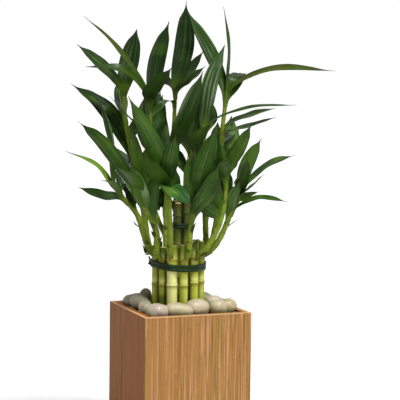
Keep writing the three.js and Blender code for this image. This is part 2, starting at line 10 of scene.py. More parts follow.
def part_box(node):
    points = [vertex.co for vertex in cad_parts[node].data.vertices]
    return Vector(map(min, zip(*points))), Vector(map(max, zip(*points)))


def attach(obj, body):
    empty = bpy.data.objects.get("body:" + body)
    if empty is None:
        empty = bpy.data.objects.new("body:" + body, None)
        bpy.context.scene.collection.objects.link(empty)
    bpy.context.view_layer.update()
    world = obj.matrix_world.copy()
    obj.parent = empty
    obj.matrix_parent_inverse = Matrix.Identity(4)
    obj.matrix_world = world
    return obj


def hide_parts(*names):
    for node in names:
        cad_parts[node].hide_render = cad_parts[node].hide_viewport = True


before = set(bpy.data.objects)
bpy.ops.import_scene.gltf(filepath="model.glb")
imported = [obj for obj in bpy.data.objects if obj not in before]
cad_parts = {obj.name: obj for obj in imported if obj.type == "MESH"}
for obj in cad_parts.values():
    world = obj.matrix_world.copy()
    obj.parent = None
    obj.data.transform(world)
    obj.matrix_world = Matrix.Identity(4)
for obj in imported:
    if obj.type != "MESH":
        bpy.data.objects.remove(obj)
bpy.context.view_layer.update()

mm = 0.001
scene = bpy.context.scene
print("frame loaded:", len(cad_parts), "nodes")


# Node trees written as expressions

def isVector(term):
    if isinstance(term, Wire):
        return term.socket.type == "VECTOR"
    return isinstance(term, (tuple, Vector))


def asVector(term):
    if isinstance(term, Wire):
        return term
    return tuple(term) if isVector(term) else (term, term, term)


class Wire:
    # an output socket; arithmetic on it adds Math nodes, or Vector Math nodes for vectors
    def __init__(self, graph, socket):
        self.graph = graph
        self.socket = socket

    def math(self, operation, *terms):
        kind = "ShaderNodeMath"
        if any(isVector(term) for term in terms):
            kind = "ShaderNodeVectorMath"
            terms = [asVector(term) for term in terms]
        return self.graph.node(kind, {"operation": operation}, dict(enumerate(terms)))

    def measure(self, operation, *terms):
        # Vector Math whose result is one number
        sockets = dict(enumerate(terms))
        return self.graph.node("ShaderNodeVectorMath", {"operation": operation}, sockets, "Value")

    def __add__(self, other):
        return self.math("ADD", self, other)

    def __radd__(self, other):
        return self.math("ADD", other, self)

    def __sub__(self, other):
        return self.math("SUBTRACT", self, other)

    def __rsub__(self, other):
        return self.math("SUBTRACT", other, self)

    def __mul__(self, other):
        return self.math("MULTIPLY", self, other)

    def __rmul__(self, other):
        return self.math("MULTIPLY", other, self)

    def __truediv__(self, other):
        return self.math("DIVIDE", self, other)

    def __rtruediv__(self, other):
        return self.math("DIVIDE", other, self)

    def __pow__(self, other):
        return self.math("POWER", self, other)

    def __rpow__(self, other):
        return self.math("POWER", other, self)

    def __neg__(self):
        return self.math("MULTIPLY", self, -1.0)

    def __abs__(self):
        return self.math("ABSOLUTE", self)

    def sine(self):
        return self.math("SINE", self)

    def cosine(self):
        return self.math("COSINE", self)

    def sign(self):
        return self.math("SIGN", self)

    def fraction(self):
        return self.math("FRACT", self)

    def whole(self):
        return self.math("FLOOR", self)

    def atLeast(self, other):
        return self.math("MAXIMUM", self, other)

    def atMost(self, other):
        return self.math("MINIMUM", self, other)

    def dot(self, other):
        return self.measure("DOT_PRODUCT", self, other)

    def cross(self, other):
        return self.math("CROSS_PRODUCT", self, other)

    def unit(self):
        return self.math("NORMALIZE", self)

    def length(self):
        return self.measure("LENGTH", self)

    def rise(self, low, high):
        # 0 below low, 1 above high, smooth between
        sockets = {"Value": self, "From Min": low, "From Max": high}
        return self.graph.node("ShaderNodeMapRange", {"interpolation_type": "SMOOTHSTEP"}, sockets)

    def bell(self, width):
        # 1 where the wire is 0, falling away over the width
        share = self / width
        return math.e ** -(share * share)

    def parts(self):
        return [self.graph.node("ShaderNodeSeparateXYZ", {}, {0: self}, axis) for axis in "XYZ"]


class Graph:
    # a node tree whose nodes all come from one method
    def __init__(self, tree):
        self.tree = tree

    def node(self, kind, settings=None, sockets=None, out=0):
        made = self.tree.nodes.new(kind)
        for key, value in (settings or {}).items():
            if key == "captures":
                made.capture_items.new(value, "kept")  # the kind of value that the node holds
            else:
                setattr(made, key, value)
        for key, value in (sockets or {}).items():
            if isinstance(value, Wire):
                self.link(value, made.inputs[key])
            else:
                made.inputs[key].default_value = value
        return Wire(self, made.outputs[out])

    def link(self, wire, socket):
        self.tree.links.new(wire.socket, socket)

    def vector(self, x, y, z):
        return self.node("ShaderNodeCombineXYZ", {}, {0: x, 1: y, 2: z})

    def noise(self, place, detail, roughness=0.5):
        sockets = {"Vector": place, "Scale": 1.0, "Detail": detail, "Roughness": roughness}
        return self.node("ShaderNodeTexNoise", {}, sockets)


def lerp(start, end, share):
    return start + (end - start) * share


# Finishes

def paint(red, green, blue):
    # a colour as seen on screen, 0 to 255, as the shader takes it
    def linear(level):
        level = level / 255
        return level / 12.92 if level <= 0.04045 else ((level + 0.055) / 1.055) ** 2.4
    return (linear(red), linear(green), linear(blue), 1.0)


class Finish(Graph):
    # a material with its Principled shader
    def __init__(self, name, constants):
        self.material = bpy.data.materials.new(name)
        self.material.use_nodes = True
        super().__init__(self.material.node_tree)
        self.shader = self.tree.nodes["Principled BSDF"]
        for key, value in constants.items():
            self.shader.inputs[key].default_value = value

    def feed(self, key, wire):
        self.link(wire, self.shader.inputs[key])

    def place(self):
        return self.node("ShaderNodeTexCoord", {}, {}, "Object")

    def value(self, name, out="Fac"):
        return self.node("ShaderNodeAttribute", {"attribute_name": name}, {}, out)

    def mix(self, share, first, second, blend="MIX"):
        sockets = {0: share, 6: first, 7: second}
        return self.node("ShaderNodeMix", {"data_type": "RGBA", "blend_type": blend}, sockets, 2)

    def layers(self, colour, *coats):
        # the colour under a row of coats, each with how far it covers what lies below it
        for share, coat in coats:
            colour = self.mix(share, colour, coat)
        return colour

    def relief(self, height, distance, strength):
        sockets = {"Height": height, "Distance": distance, "Strength": strength}
        self.feed("Normal", self.node("ShaderNodeBump", {}, sockets))


# Recipes

def addObject(name, data):
    thing = bpy.data.objects.new(name, data)
    scene.collection.objects.link(thing)
    return thing


class Recipe(Graph):
    # a Geometry Nodes tree with named inputs, which works on a mesh of starting points or lines
    def __init__(self, name, sizes):
        super().__init__(bpy.data.node_groups.new(name, "GeometryNodeTree"))
        self.sizes = {**sizes}
        self.keys = {}
        face = self.tree.interface
        face.new_socket("Geometry", in_out="INPUT", socket_type="NodeSocketGeometry")
        for key, value in sizes.items():
            kind = "NodeSocketInt" if isinstance(value, int) else "NodeSocketFloat"
            self.keys[key] = face.new_socket(key, in_out="INPUT", socket_type=kind).identifier
        face.new_socket("Geometry", in_out="OUTPUT", socket_type="NodeSocketGeometry")
        self.entry = self.tree.nodes.new("NodeGroupInput")
        self.exit = self.tree.nodes.new("NodeGroupOutput")

    def start(self):
        return Wire(self, self.entry.outputs["Geometry"])

    def size(self, key):
        return Wire(self, self.entry.outputs[key])

    def place(self):
        return self.node("GeometryNodeInputPosition")

    def value(self, name, kind="FLOAT"):
        return self.node("GeometryNodeInputNamedAttribute", {"data_type": kind}, {"Name": name})

    def store(self, geometry, name, value):
        settings = {"data_type": "FLOAT", "domain": "POINT"}
        sockets = {"Geometry": geometry, "Name": name, "Value": value}
        return self.node("GeometryNodeStoreNamedAttribute", settings, sockets)

    def capture(self, geometry, value, kind="VECTOR"):
        # the geometry, and the value as it is on its points at this stage
        held = self.node("GeometryNodeCaptureAttribute", {"captures": kind}, {0: geometry, 1: value})
        return held, Wire(self, held.socket.node.outputs[1])

    def forget(self, geometry, names):
        for name in names:
            geometry = self.node("GeometryNodeRemoveAttribute", {}, {"Geometry": geometry, "Name": name})
        return geometry

    def lines(self, mode, amount):
        # the starting lines with new points, by their COUNT or by the LENGTH between them
        curves = self.node("GeometryNodeMeshToCurve", {}, {0: self.start()})
        sockets = {"Curve": curves, mode.title(): amount}
        return self.node("GeometryNodeResampleCurve", {"mode": mode}, sockets)

    def circle(self, points):
        sockets = {"Resolution": points, "Radius": 1.0}
        return self.node("GeometryNodeCurvePrimitiveCircle", {}, sockets)

    def sweep(self, curve, profile, scale=1.0):
        # a closed skin, drawn by the profile along the curve
        sockets = {"Curve": curve, "Profile Curve": profile, "Scale": scale, "Fill Caps": True}
        return self.node("GeometryNodeCurveToMesh", {}, sockets)

    def instances(self, points, instance, scale, turn=(0.0, 0.0, 0.0)):
        sockets = {"Points": points, "Instance": instance, "Scale": scale, "Rotation": turn}
        placed = self.node("GeometryNodeInstanceOnPoints", {}, sockets)
        return self.node("GeometryNodeRealizeInstances", {}, {"Geometry": placed})

    def move(self, geometry, place):
        return self.node("GeometryNodeSetPosition", {}, {"Geometry": geometry, "Position": place})

    def end(self, geometry, finish, smooth=True):
        if smooth:
            geometry = self.node("GeometryNodeSetShadeSmooth", {}, {"Geometry": geometry})
        real = self.node("GeometryNodeRealizeInstances", {}, {"Geometry": geometry})
        done = self.node("GeometryNodeSetMaterial", {}, {"Geometry": real, "Material": finish.material})
        self.link(done, self.exit.inputs["Geometry"])

    def run(self, name, start):
        # keeps the result as a plain mesh on an object at the origin
        thing = addObject(name, start)
        modifier = thing.modifiers.new("recipe", "NODES")
        modifier.node_group = self.tree
        for key, value in self.sizes.items():
            modifier[self.keys[key]] = value
        bpy.context.view_layer.update()
        depsgraph = bpy.context.evaluated_depsgraph_get()
        made = bpy.data.meshes.new_from_object(thing.evaluated_get(depsgraph), depsgraph=depsgraph)
        thing.modifiers.clear()
        thing.data = made
        made.name = name
        return thing


def setValues(mesh, key, values):
    # one number or vector for every point of the mesh
    vectors = isinstance(values[0], Vector)
    made = mesh.attributes.new(key, "FLOAT_VECTOR" if vectors else "FLOAT", "POINT")
    for item, value in zip(made.data, values):
        if vectors:
            item.vector = value
        else:
            item.value = value


def lineMesh(name, lines, closed=False):
    # polylines, each with its points and the values that hold on all of them or one by one
    points = []
    edges = []
    for line in lines:
        first = len(points)
        points += line["points"]
        edges += [(i, i + 1) for i in range(first, len(points) - 1)]
        if closed:
            edges.append((len(points) - 1, first))
    mesh = bpy.data.meshes.new(name)
    mesh.from_pydata(points, edges, [])
    for key in lines[0]["values"]:
        values = []
        for line in lines:
            value = line["values"][key]
            values += value if isinstance(value, list) else [value] * len(line["points"])
        setValues(mesh, key, values)
    return mesh


def squareCorners(half, height):
    return [(-half, -half, height), (half, -half, height), (half, half, height), (-half, half, height)]


def joinInto(target, other):
    with bpy.context.temp_override(active_object=target, selected_editable_objects=[target, other]):
        bpy.ops.object.join()


def keep(thing, node):
    # the finished piece rides on the one body, and stands for its node
    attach(thing, "root")
    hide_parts(node)


# The plant's own frame: x across the photograph, y away from it, z up from the rim, in millimetres

wallLow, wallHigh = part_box("planter_wall_front")
rim = wallHigh.z
plantTurn = math.radians(-21.6)
toPlanter = Matrix.Translation((0, 0, rim)) @ Matrix.Rotation(plantTurn, 4, "Z") @ Matrix.Scale(mm, 4)
turnOnly = Matrix.Rotation(plantTurn, 3, "Z")
curveSteps = 40  # fine points between two given points of a path


def chance(n):
    # the same number between 0 and 1 for the same n
    s = math.sin(n * 12.9898 + 4.1) * 43758.5453
    return s - math.floor(s)


def varied(least, most, n):
    # a number between the two, which the number n settles
    return lerp(least, most, chance(n))


def smoothPath(points, count):
    # centripetal Catmull-Rom curve through the points, as count points at equal distances
    points = [Vector(point) for point in points]
    ends = [2 * points[0] - points[1], *points, 2 * points[-1] - points[-2]]
    fine = []
    for i in range(len(points) - 1):
        p0, p1, p2, p3 = ends[i:i + 4]
        t0, t1, t2 = [max((b - a).length, 1e-6) ** 0.5 for a, b in ((p0, p1), (p1, p2), (p2, p3))]
        leaving = ((p1 - p0) / t0 - (p2 - p0) / (t0 + t1) + (p2 - p1) / t1) * t1
        arriving = ((p2 - p1) / t1 - (p3 - p1) / (t1 + t2) + (p3 - p2) / t2) * t1
        for step in range(curveSteps):
            u = step / curveSteps
            bend = -3 * p1 + 3 * p2 - 2 * leaving - arriving
            fine.append(p1 + leaving * u + bend * u ** 2 + (2 * p1 - 2 * p2 + leaving + arriving) * u ** 3)
    fine.append(points[-1])
    runs = [0.0]
    for a, b in zip(fine, fine[1:]):
        runs.append(runs[-1] + (b - a).length)
    path = []
    at = 0
    for i in range(count):
        run = runs[-1] * i / (count - 1)
        while at < len(fine) - 2 and runs[at + 1] < run:
            at += 1
        share = (run - runs[at]) / max(runs[at + 1] - runs[at], 1e-9)
        path.append(fine[at].lerp(fine[at + 1], min(share, 1)))
    return path


def pointAt(path, share):
    place = share * (len(path) - 1)
    low = min(int(place), len(path) - 2)
    return path[low].lerp(path[low + 1], place - low)


def directionAt(path, share):
    low = min(int(share * (len(path) - 1)), len(path) - 2)
    return (path[low + 1] - path[low]).normalized()


# Canes: the angle of each from the front, its radius, its cut height and how pale it is; one
# with an inset stands back from the ring

outerCanes = [
    {"angle": -75, "radius": 4.0, "top": 71, "tone": 0.5},
    {"angle": -45, "radius": 3.8, "top": 70, "inset": 2, "tone": 0.15},
    {"angle": -15, "radius": 6.0, "top": 73, "tone": 0.95},
    {"angle": 15, "radius": 4.6, "top": 74, "tone": 0.55},
    {"angle": 45, "radius": 4.8, "top": 77, "tone": 0.6},
    {"angle": 75, "radius": 3.8, "top": 76, "tone": 0.4},
    {"angle": 102, "radius": 4.4, "top": 72, "tone": 0.5},
    {"angle": 128, "radius": 4.8, "top": 75, "tone": 0.7},
    {"angle": 154, "radius": 4.2, "top": 73, "tone": 0.3},
    {"angle": 182, "radius": 5.0, "top": 74, "tone": 0.8},
    {"angle": 211, "radius": 4.4, "top": 71, "tone": 0.5},
    {"angle": 240, "radius": 4.2, "top": 73, "tone": 0.35},
]
innerCanes = [
    {"angle": -33, "radius": 3.7, "top": 119, "tone": 0.2},
    {"angle": 57, "radius": 3.7, "top": 122, "tone": 0.15},
    {"angle": 147, "radius": 3.9, "top": 120, "tone": 0.3},
    {"angle": 237, "radius": 3.6, "top": 121, "tone": 0.3},
]
canes = {
    "outerRing": {"centre": (-1.5, 0), "circle": 30.4, "joints": (29, 58), "foot": 57},
    "innerRing": {"centre": (1.3, 0), "circle": 10.5, "joints": (36, 70, 106), "foot": 106},
    "depth": 95,  # below the rim
    "uneven": 4,  # most difference in height between the joints of two canes
    "sizes": {
        "Spacing": 0.8 * mm,
        "Sides": 24,
        "Ring height": 0.75 * mm,
        "Ring width": 1.2 * mm,
        "Halo rise": 4.5 * mm,
        "Halo width": 3.5 * mm,
        "Stain drop": 2.2 * mm,
        "Stain width": 2.0 * mm,
        "Groove rise": 1.6 * mm,
        "Groove width": 0.7 * mm,
        "Groove depth": 0.3 * mm,
        "Bevel": 0.7 * mm,
        "Waver": 0.04,  # share of the radius
        "Wavers": 60.0,  # in a metre
    },
    "colours": {
        "pale": paint(162, 164, 54), "green": paint(104, 118, 14), "deep": paint(62, 80, 10),
        "ring": paint(106, 90, 30), "halo": paint(184, 182, 104), "cut": paint(134, 122, 76),
        "dry": paint(74, 52, 26), "shade": paint(44, 56, 14), "cream": paint(196, 198, 142),
    },
    # heights above the rim over which the painted shade by the pebbles and the cream part end and the
    # green, crown and tall ones begin
    "zones": {
        "pebbleShade": (13, 19), "green": (35, 75), "cream": (44, 50), "crown": (56, 63), "tall": (72, 95),
    },
}


def placeCanes(rods, ring):
    # where each cane stands, the heights of its joints, and where a shoot leaves it
    for cane in rods:
        reach = ring["circle"] - cane["radius"] - cane.get("inset", 0)
        angle = math.radians(cane["angle"])
        cane["x"] = ring["centre"][0] + reach * math.sin(angle)
        cane["y"] = ring["centre"][1] - reach * math.cos(angle)
        cane["joints"] = ring["joints"]
        cane["foot"] = ring["foot"]


placeCanes(outerCanes, canes["outerRing"])
placeCanes(innerCanes, canes["innerRing"])


def caneFinish(colours, zones):
    cane = Finish("livingCane", {"Specular IOR Level": 0.2})
    place = cane.place()
    height = place.parts()[2] - rim
    above = {key: height.rise(low * mm, high * mm) for key, (low, high) in zones.items()}
    tone, band, halo, stain, below, core = [
        cane.value(key) for key in ("tone", "band", "halo", "stain", "below", "core")
    ]
    streaks = cane.noise(place * (900, 900, 30), 3.0)
    blotches = cane.noise(place * (120, 120, 45), 3.0)
    patchy = 0.2 + 0.6 * blotches
    end = 1 - below.rise(2.0 * mm, 10.0 * mm)
    body = cane.layers(
        cane.mix(tone, colours["green"], colours["pale"]),
        (above["green"] * 0.45, colours["green"]),  # greener upwards
        (streaks.rise(0.45, 0.75) * 0.5, colours["deep"]),
        (blotches.rise(0.5, 0.75) * (0.15 + 0.5 * tone), colours["halo"]),  # pale patches
        (halo * 0.7, colours["halo"]),  # bloom above a joint
        (band.rise(0.1, 0.9) * 0.6, colours["ring"]),
        (tone.rise(0.75, 1.0) * (1 - above["cream"]) * patchy, colours["cream"]),  # the palest, low down
        (stain * patchy, colours["ring"]),  # brown below a joint
        (above["crown"] * (0.3 + 0.5 * blotches), colours["deep"]),  # mottled over the tie
        # painted shade low on the darkest canes, by the pebbles
        ((1 - tone.rise(0.15, 0.25)) * (1 - above["pebbleShade"]) * 0.7, colours["shade"]),
        (above["tall"] * 0.8, colours["shade"]),  # painted shade on the inner canes among the leaves
        (above["tall"] * end * blotches.rise(0.3, 0.55), colours["dry"]),  # their dried ends
    )
    face = cane.layers(
        cane.mix(core.rise(0.55, 0.85), colours["cut"], colours["halo"]),
        (blotches.rise(0.4, 0.6) * 0.6, colours["dry"]),
    )
    cut = 1 - below.rise(0.1 * mm, 1.0 * mm)
    cane.feed("Base Color", cane.mix(cut, body, face))
    cane.feed("Roughness", 0.34 + 0.3 * cut + 0.15 * streaks)
    cane.relief(streaks * 0.6 + blotches, 0.25 * mm, 0.5)
    return cane


def caneRecipe(sizes, finish):
    # a rod along each line, with a raised ring at each joint, a groove over the two lower ones
    # and a bevelled cut end
    recipe = Recipe("cane with rings", sizes)
    size = recipe.size
    rod = recipe.lines("LENGTH", size("Spacing"))
    run = recipe.node("GeometryNodeSplineParameter", {}, {}, "Length")
    below = recipe.value("whole") - run
    place = recipe.place()
    pasts = [run - recipe.value(key) for key in ("jointA", "jointB", "jointC")]
    band = sum(past.bell(size("Ring width")) for past in pasts)
    halo = sum((past - size("Halo rise")).bell(size("Halo width")) for past in pasts)
    stain = sum((past + size("Stain drop")).bell(size("Stain width")) for past in pasts)
    groove = sum((past - size("Groove rise")).bell(size("Groove width")) for past in pasts[:2])
    waver = recipe.noise(place * size("Wavers"), 2.0) - 0.5
    radius = recipe.value("radius") * (1 + waver * size("Waver"))
    radius = radius + band * size("Ring height") - groove * size("Groove depth")
    bevel = 1 - below.rise(0.0, size("Bevel"))
    radius = radius - bevel * size("Bevel")
    for key, value in (("band", band), ("halo", halo), ("stain", stain), ("below", below)):
        rod = recipe.store(rod, key, value)
    rod, axis = recipe.capture(rod, place)
    rod, outer = recipe.capture(rod, radius, "FLOAT")
    skin = recipe.sweep(rod, recipe.circle(size("Sides")), radius)
    skin = recipe.store(skin, "core", (place - axis).length() / outer)
    recipe.end(recipe.forget(skin, ["jointA", "jointB", "jointC", "whole", "radius"]), finish)
    return recipe


def buildCanes():
    recipe = caneRecipe(canes["sizes"], caneFinish(canes["colours"], canes["zones"]))
    depth = canes["depth"]
    noJoint = -1.0  # a metre below the cane's foot
    for group, rods in (("cane_outer", outerCanes), ("cane_inner", innerCanes)):
        for i, cane in enumerate(rods):
            foot = toPlanter @ Vector((cane["x"], cane["y"], -depth))
            top = toPlanter @ Vector((cane["x"], cane["y"], cane["top"]))
            shift = canes["uneven"] * (chance(cane["angle"]) - 0.5)
            joints = [(joint + shift + depth) * mm for joint in cane["joints"]] + [noJoint]
            values = {
                "tone": cane["tone"], "radius": cane["radius"] * mm, "whole": (top - foot).length,
                "jointA": joints[0], "jointB": joints[1], "jointC": joints[2],
            }
            start = lineMesh("caneLine", [{"points": [foot, top], "values": values}])
            name = f"{group}_{i + 1:02d}"
            keep(recipe.run(name + "_rod", start), name)
    print("canes:", len(outerCanes) + len(innerCanes))


# Shoots. A leaf leaves the stem at a share of its length, passes a point midway and ends at its
# tip; then come its width, the direction in which its width lies and, for some, the angle at
# which that direction rises.

shoots = [
    {
        "name": "shoot_left_low", "cane": outerCanes[0], "radius": 4.0,
        "stem": [[-32, -8, 62], [-37, -13, 74], [-41, -14, 86], [-45, -14, 99], [-50, -14, 109],
            [-57, -14, 117], [-65, -14, 125]],
        "leaves": [
            [1.00, [-93, -20, 160], [-128, -26, 177], 11, 60],
            [0.87, [-87, 6, 125], [-117, 20, 133], 13, 80, 42],
            [1.00, [-79, -14, 187], [-92, -24, 238], 13, 60],
            [0.96, [-67, 14, 140], [-81, 50, 154], 13, 10],
            [0.92, [-75, -40, 142], [-86, -66, 148], 14, 150],
            [0.72, [-56, 4, 129], [-73, 14, 152], 16, 15],
        ],
    },
    {
        "name": "shoot_left_mid", "cane": outerCanes[1], "radius": 4.2,
        "stem": [[-25, -24, 62], [-25, -28, 78], [-27, -30, 92], [-33, -32, 105], [-39, -33, 116],
            [-44, -34, 127]],
        "leaves": [
            [0.99, [-83, -56, 186], [-109, -84, 212], 16, 10],
            [0.96, [-46, -54, 169], [-54, -66, 208], 14, 20],
            [0.86, [-50, -70, 149], [-65, -104, 164], 17, 160],
            [0.99, [-37, -48, 156], [-36, -56, 189], 18, 170],
            [0.92, [-52, -10, 133], [-64, 4, 148], 14, 20],
            [0.68, [-43, -46, 132], [-53, -54, 165], 18, 10],
            [0.55, [-32, -38, 125], [-24, -46, 154], 16, 170],
        ],
    },
    {
        "name": "shoot_left_tall", "cane": outerCanes[11], "radius": 3.8,
        "stem": [[-33, 10, 63], [-38, 12, 79], [-41, 12, 103], [-46, 12, 128], [-53, 12, 159],
            [-59, 10, 188], [-64, 8, 217], [-65, 6, 237]],
        "leaves": [
            [1.00, [-59, 20, 282], [-52, 28, 314], 22, 5],
            [1.00, [-87, 2, 269], [-117, -8, 295], 15, 35],
            [0.59, [-87, 22, 222], [-128, 40, 251], 22, 20],
            [0.84, [-70, 40, 233], [-76, 72, 258], 15, 150],
            [0.69, [-47, 40, 210], [-38, 66, 243], 17, 20],
            [0.46, [-67, 60, 163], [-84, 95, 179], 16, 30],
            [0.36, [-54, 34, 146], [-62, 56, 165], 15, 20],
            [0.26, [-46, 24, 151], [-54, 34, 181], 15, 10],
        ],
    },
    {
        "name": "shoot_left_inner", "cane": outerCanes[10], "radius": 3.2,
        "stem": [[-14, 14, 66], [-17, 11, 80], [-25, 9, 97], [-31, 6, 117], [-35, 2, 142],
            [-36, -2, 167], [-35, -4, 195], [-34, -6, 225]],
        "leaves": [
            [0.97, [-75, -22, 295], [-107, -30, 325], 11, 60],
            [1.00, [-64, -42, 267], [-104, -46, 270], 13, 80, 38],
            [1.00, [-28, 8, 279], [-15, 16, 323], 19, 5],
            [1.00, [-32, -30, 243], [-10, -52, 270], 21, 20],
            [0.75, [-62, -10, 218], [-81, 2, 238], 8, 80],
            [0.71, [-26, 10, 208], [-22, 22, 240], 15, 10],
            [0.50, [-29, -22, 168], [-34, -26, 201], 19, 10],
            [0.36, [-21, 7, 114], [-18, 8, 144], 14, 10],
        ],
    },
    {
        "name": "shoot_front_left", "cane": outerCanes[2], "radius": 3.8,
        "stem": [[-10, -31, 63], [-10, -35, 80], [-11, -36, 101], [-12, -37, 121], [-13, -38, 136]],
        "leaves": [
            [1.00, [-26, -62, 183], [-56, -76, 239], 19, 20],
            [1.00, [-11, -56, 165], [-5, -60, 198], 17, 0],
            [0.93, [-10, -62, 140], [13, -86, 122], 25, 15],
            [0.88, [-25, -66, 153], [-35, -98, 174], 20, 10],
        ],
    },
    {
        "name": "shoot_centre_tall", "cane": outerCanes[1], "radius": 3.2,
        "stem": [[-16, -10, 64], [-16, -3, 82], [-16, 0, 100], [-16, 0, 116], [-14, 0, 144],
            [-10, 0, 178], [-8, 0, 212], [-7, 0, 241]],
        "leaves": [
            [1.00, [2, 10, 293], [4, 18, 346], 22, 5],
            [0.99, [6, 22, 266], [24, 36, 290], 14, 40],
            [0.97, [8, -16, 255], [27, -20, 273], 15, 45],
            [0.98, [-15, 30, 252], [-26, 56, 267], 14, 20],
            [0.92, [-20, -22, 231], [-33, -42, 214], 14, 150],
            [0.59, [8, -22, 222], [24, -34, 267], 20, 10],
            [0.52, [-20, 20, 197], [-18, 34, 218], 13, 20],
            [0.40, [-11, 6, 126], [-5, 10, 157], 15, 10],
        ],
    },
    {
        "name": "shoot_front_right", "cane": outerCanes[3], "radius": 3.7,
        "stem": [[9, -31, 61], [11, -33, 74], [12, -34, 87], [13, -35, 100], [15, -36, 113]],
        "leaves": [
            [0.96, [24, -64, 158], [39, -80, 208], 23, 0],
            [0.92, [11, -54, 142], [8, -58, 175], 14, 30],
            [0.80, [28, -56, 131], [42, -72, 165], 19, 15],
            [0.95, [19, -44, 150], [15, -48, 181], 18, 0],
            [0.74, [26, -50, 122], [45, -62, 151], 19, 15],
            [0.88, [20, -46, 137], [24, -50, 181], 20, 0],
        ],
    },
    {
        "name": "shoot_right_inner", "cane": outerCanes[7], "radius": 3.5,
        "stem": [[24, 19, 60], [29, 16, 71], [29, 12, 89], [28, 8, 116], [26, 4, 144], [25, 0, 173],
            [25, -2, 194]],
        "leaves": [
            [0.99, [33, -8, 257], [48, 4, 297], 18, 5],
            [0.99, [75, -24, 227], [127, -34, 231], 8, 80, 25],
            [0.72, [15, -32, 188], [35, -50, 211], 18, 140],
            [0.76, [38, 30, 183], [42, 58, 209], 16, 10],
            [0.56, [40, 40, 156], [59, 76, 175], 16, 30],
            [0.96, [34, 24, 214], [30, 50, 236], 14, 20],
            [0.40, [36, 26, 125], [48, 56, 139], 15, 30],
            [0.30, [32, 24, 131], [41, 40, 167], 15, 10],
            [0.42, [21, 12, 118], [15, 6, 153], 17, 10],
        ],
    },
    {
        "name": "shoot_right_tall", "cane": outerCanes[6], "radius": 3.6,
        "stem": [[31, 5, 62], [38, 6, 81], [41, 6, 97], [44, 4, 122], [45, 2, 150], [45, 2, 179],
            [47, 2, 207], [50, 2, 235]],
        "leaves": [
            [0.99, [54, 6, 297], [46, 10, 340], 11, 70],
            [0.98, [61, 8, 259], [67, 40, 266], 19, 0],
            [0.98, [100, -6, 270], [171, -14, 269], 11, 85, 38],
            [0.96, [36, 5, 282], [6, -6, 333], 16, 20],
            [0.79, [79, -10, 219], [105, -18, 227], 13, 80, 30],
            [0.74, [78, 14, 206], [108, 26, 216], 10, 80, 25],
            [0.67, [56, 44, 196], [58, 78, 216], 14, 20],
            [0.58, [58, 34, 184], [66, 58, 204], 14, 30],
            [0.42, [46, 12, 124], [56, 13, 156], 17, 10],
        ],
    },
    {
        "name": "shoot_right_mid", "cane": outerCanes[4], "radius": 3.6,
        "stem": [[22, -24, 62], [30, -26, 70], [37, -26, 82], [44, -26, 97], [48, -26, 113],
            [50, -26, 130], [51, -26, 147]],
        "leaves": [
            [0.99, [64, -38, 181], [77, -50, 209], 15, 0],
            [0.98, [46, -46, 170], [42, -58, 192], 12, 10],
            [0.90, [48, -56, 160], [45, -88, 172], 16, 30],
            [0.96, [56, 0, 159], [63, 40, 168], 13, 20],
            [0.84, [41, -10, 146], [36, -14, 178], 17, 0],
            [0.62, [37, -36, 127], [38, -40, 163], 20, 5],
            [0.50, [29, -32, 118], [23, -38, 147], 17, 10],
        ],
    },
    {
        "name": "shoot_right_low", "cane": outerCanes[5], "radius": 3.7,
        "stem": [[31, -6, 62], [41, -8, 73], [49, -9, 88], [55, -10, 103], [62, -10, 117],
            [65, -10, 126]],
        "leaves": [
            [0.98, [73, -14, 160], [90, -20, 194], 16, 0],
            [0.95, [100, 4, 163], [131, 14, 174], 12, 80, 35],
            [0.73, [88, -12, 126], [120, -22, 123], 10, 80, 30],
            [0.87, [76, 8, 127], [89, 16, 131], 10, 80, 30],
            [0.98, [68, 24, 139], [76, 60, 151], 14, 10],
            [0.90, [70, -30, 150], [74, -50, 173], 14, 0],
            [0.93, [80, -26, 140], [93, -34, 155], 12, 70, 20],
            [0.62, [58, -22, 123], [67, -30, 147], 15, 20],
        ],
    },
    {
        "name": "shoot_back_left", "cane": outerCanes[9], "radius": 3.6,
        "stem": [[-6, 32, 62], [-11, 33, 77], [-17, 35, 98], [-19, 38, 121], [-22, 41, 144],
            [-25, 44, 167], [-26, 46, 187]],
        "leaves": [
            [0.99, [-28, 66, 219], [-41, 92, 252], 18, 10],
            [0.78, [-35, 80, 174], [-39, 122, 184], 17, 10],
            [0.60, [-37, 66, 149], [-53, 104, 146], 16, 30],
            [0.48, [-18, 76, 132], [-29, 120, 136], 16, 10],
        ],
    },
    {
        "name": "shoot_back_right", "cane": outerCanes[8], "radius": 3.6,
        "stem": [[7, 32, 62], [10, 33, 77], [13, 35, 98], [15, 38, 121], [16, 41, 144], [17, 44, 167],
            [17, 46, 183]],
        "leaves": [
            [0.99, [21, 64, 215], [30, 84, 250], 17, 0],
            [0.76, [31, 76, 168], [41, 118, 173], 16, 170],
            [0.62, [36, 62, 143], [53, 100, 143], 16, 150],
            [0.48, [22, 78, 130], [32, 124, 129], 16, 175],
        ],
    },
    {
        "name": "shoot_inner_right", "cane": innerCanes[2], "radius": 2.4,
        "stem": [[8, 11, 113], [9, 13, 130], [11, 14, 146], [11, 16, 166], [12, 18, 187]],
        "leaves": [
            [0.98, [18, 24, 221], [22, 22, 253], 17, 0],
            [0.72, [3, 40, 188], [-1, 68, 213], 15, 20],
            [0.43, [1, 26, 160], [-6, 42, 180], 14, 20],
            [0.98, [7, 44, 216], [15, 64, 243], 15, 170],
        ],
    },
    {
        "name": "shoot_inner_left", "cane": innerCanes[3], "radius": 2.4,
        "stem": [[-9, 7, 114], [-14, 12, 127], [-20, 18, 143], [-24, 22, 161], [-27, 24, 181]],
        "leaves": [
            [0.99, [-36, 22, 216], [-41, 28, 247], 16, 20],
            [0.72, [-41, 34, 181], [-51, 54, 201], 14, 40],
            [0.99, [-30, 42, 213], [-26, 72, 243], 15, 0],
            [0.47, [-11, 46, 164], [-7, 76, 191], 15, 0],
            [0.30, [-33, 34, 151], [-41, 46, 184], 14, 0],
        ],
    },
]

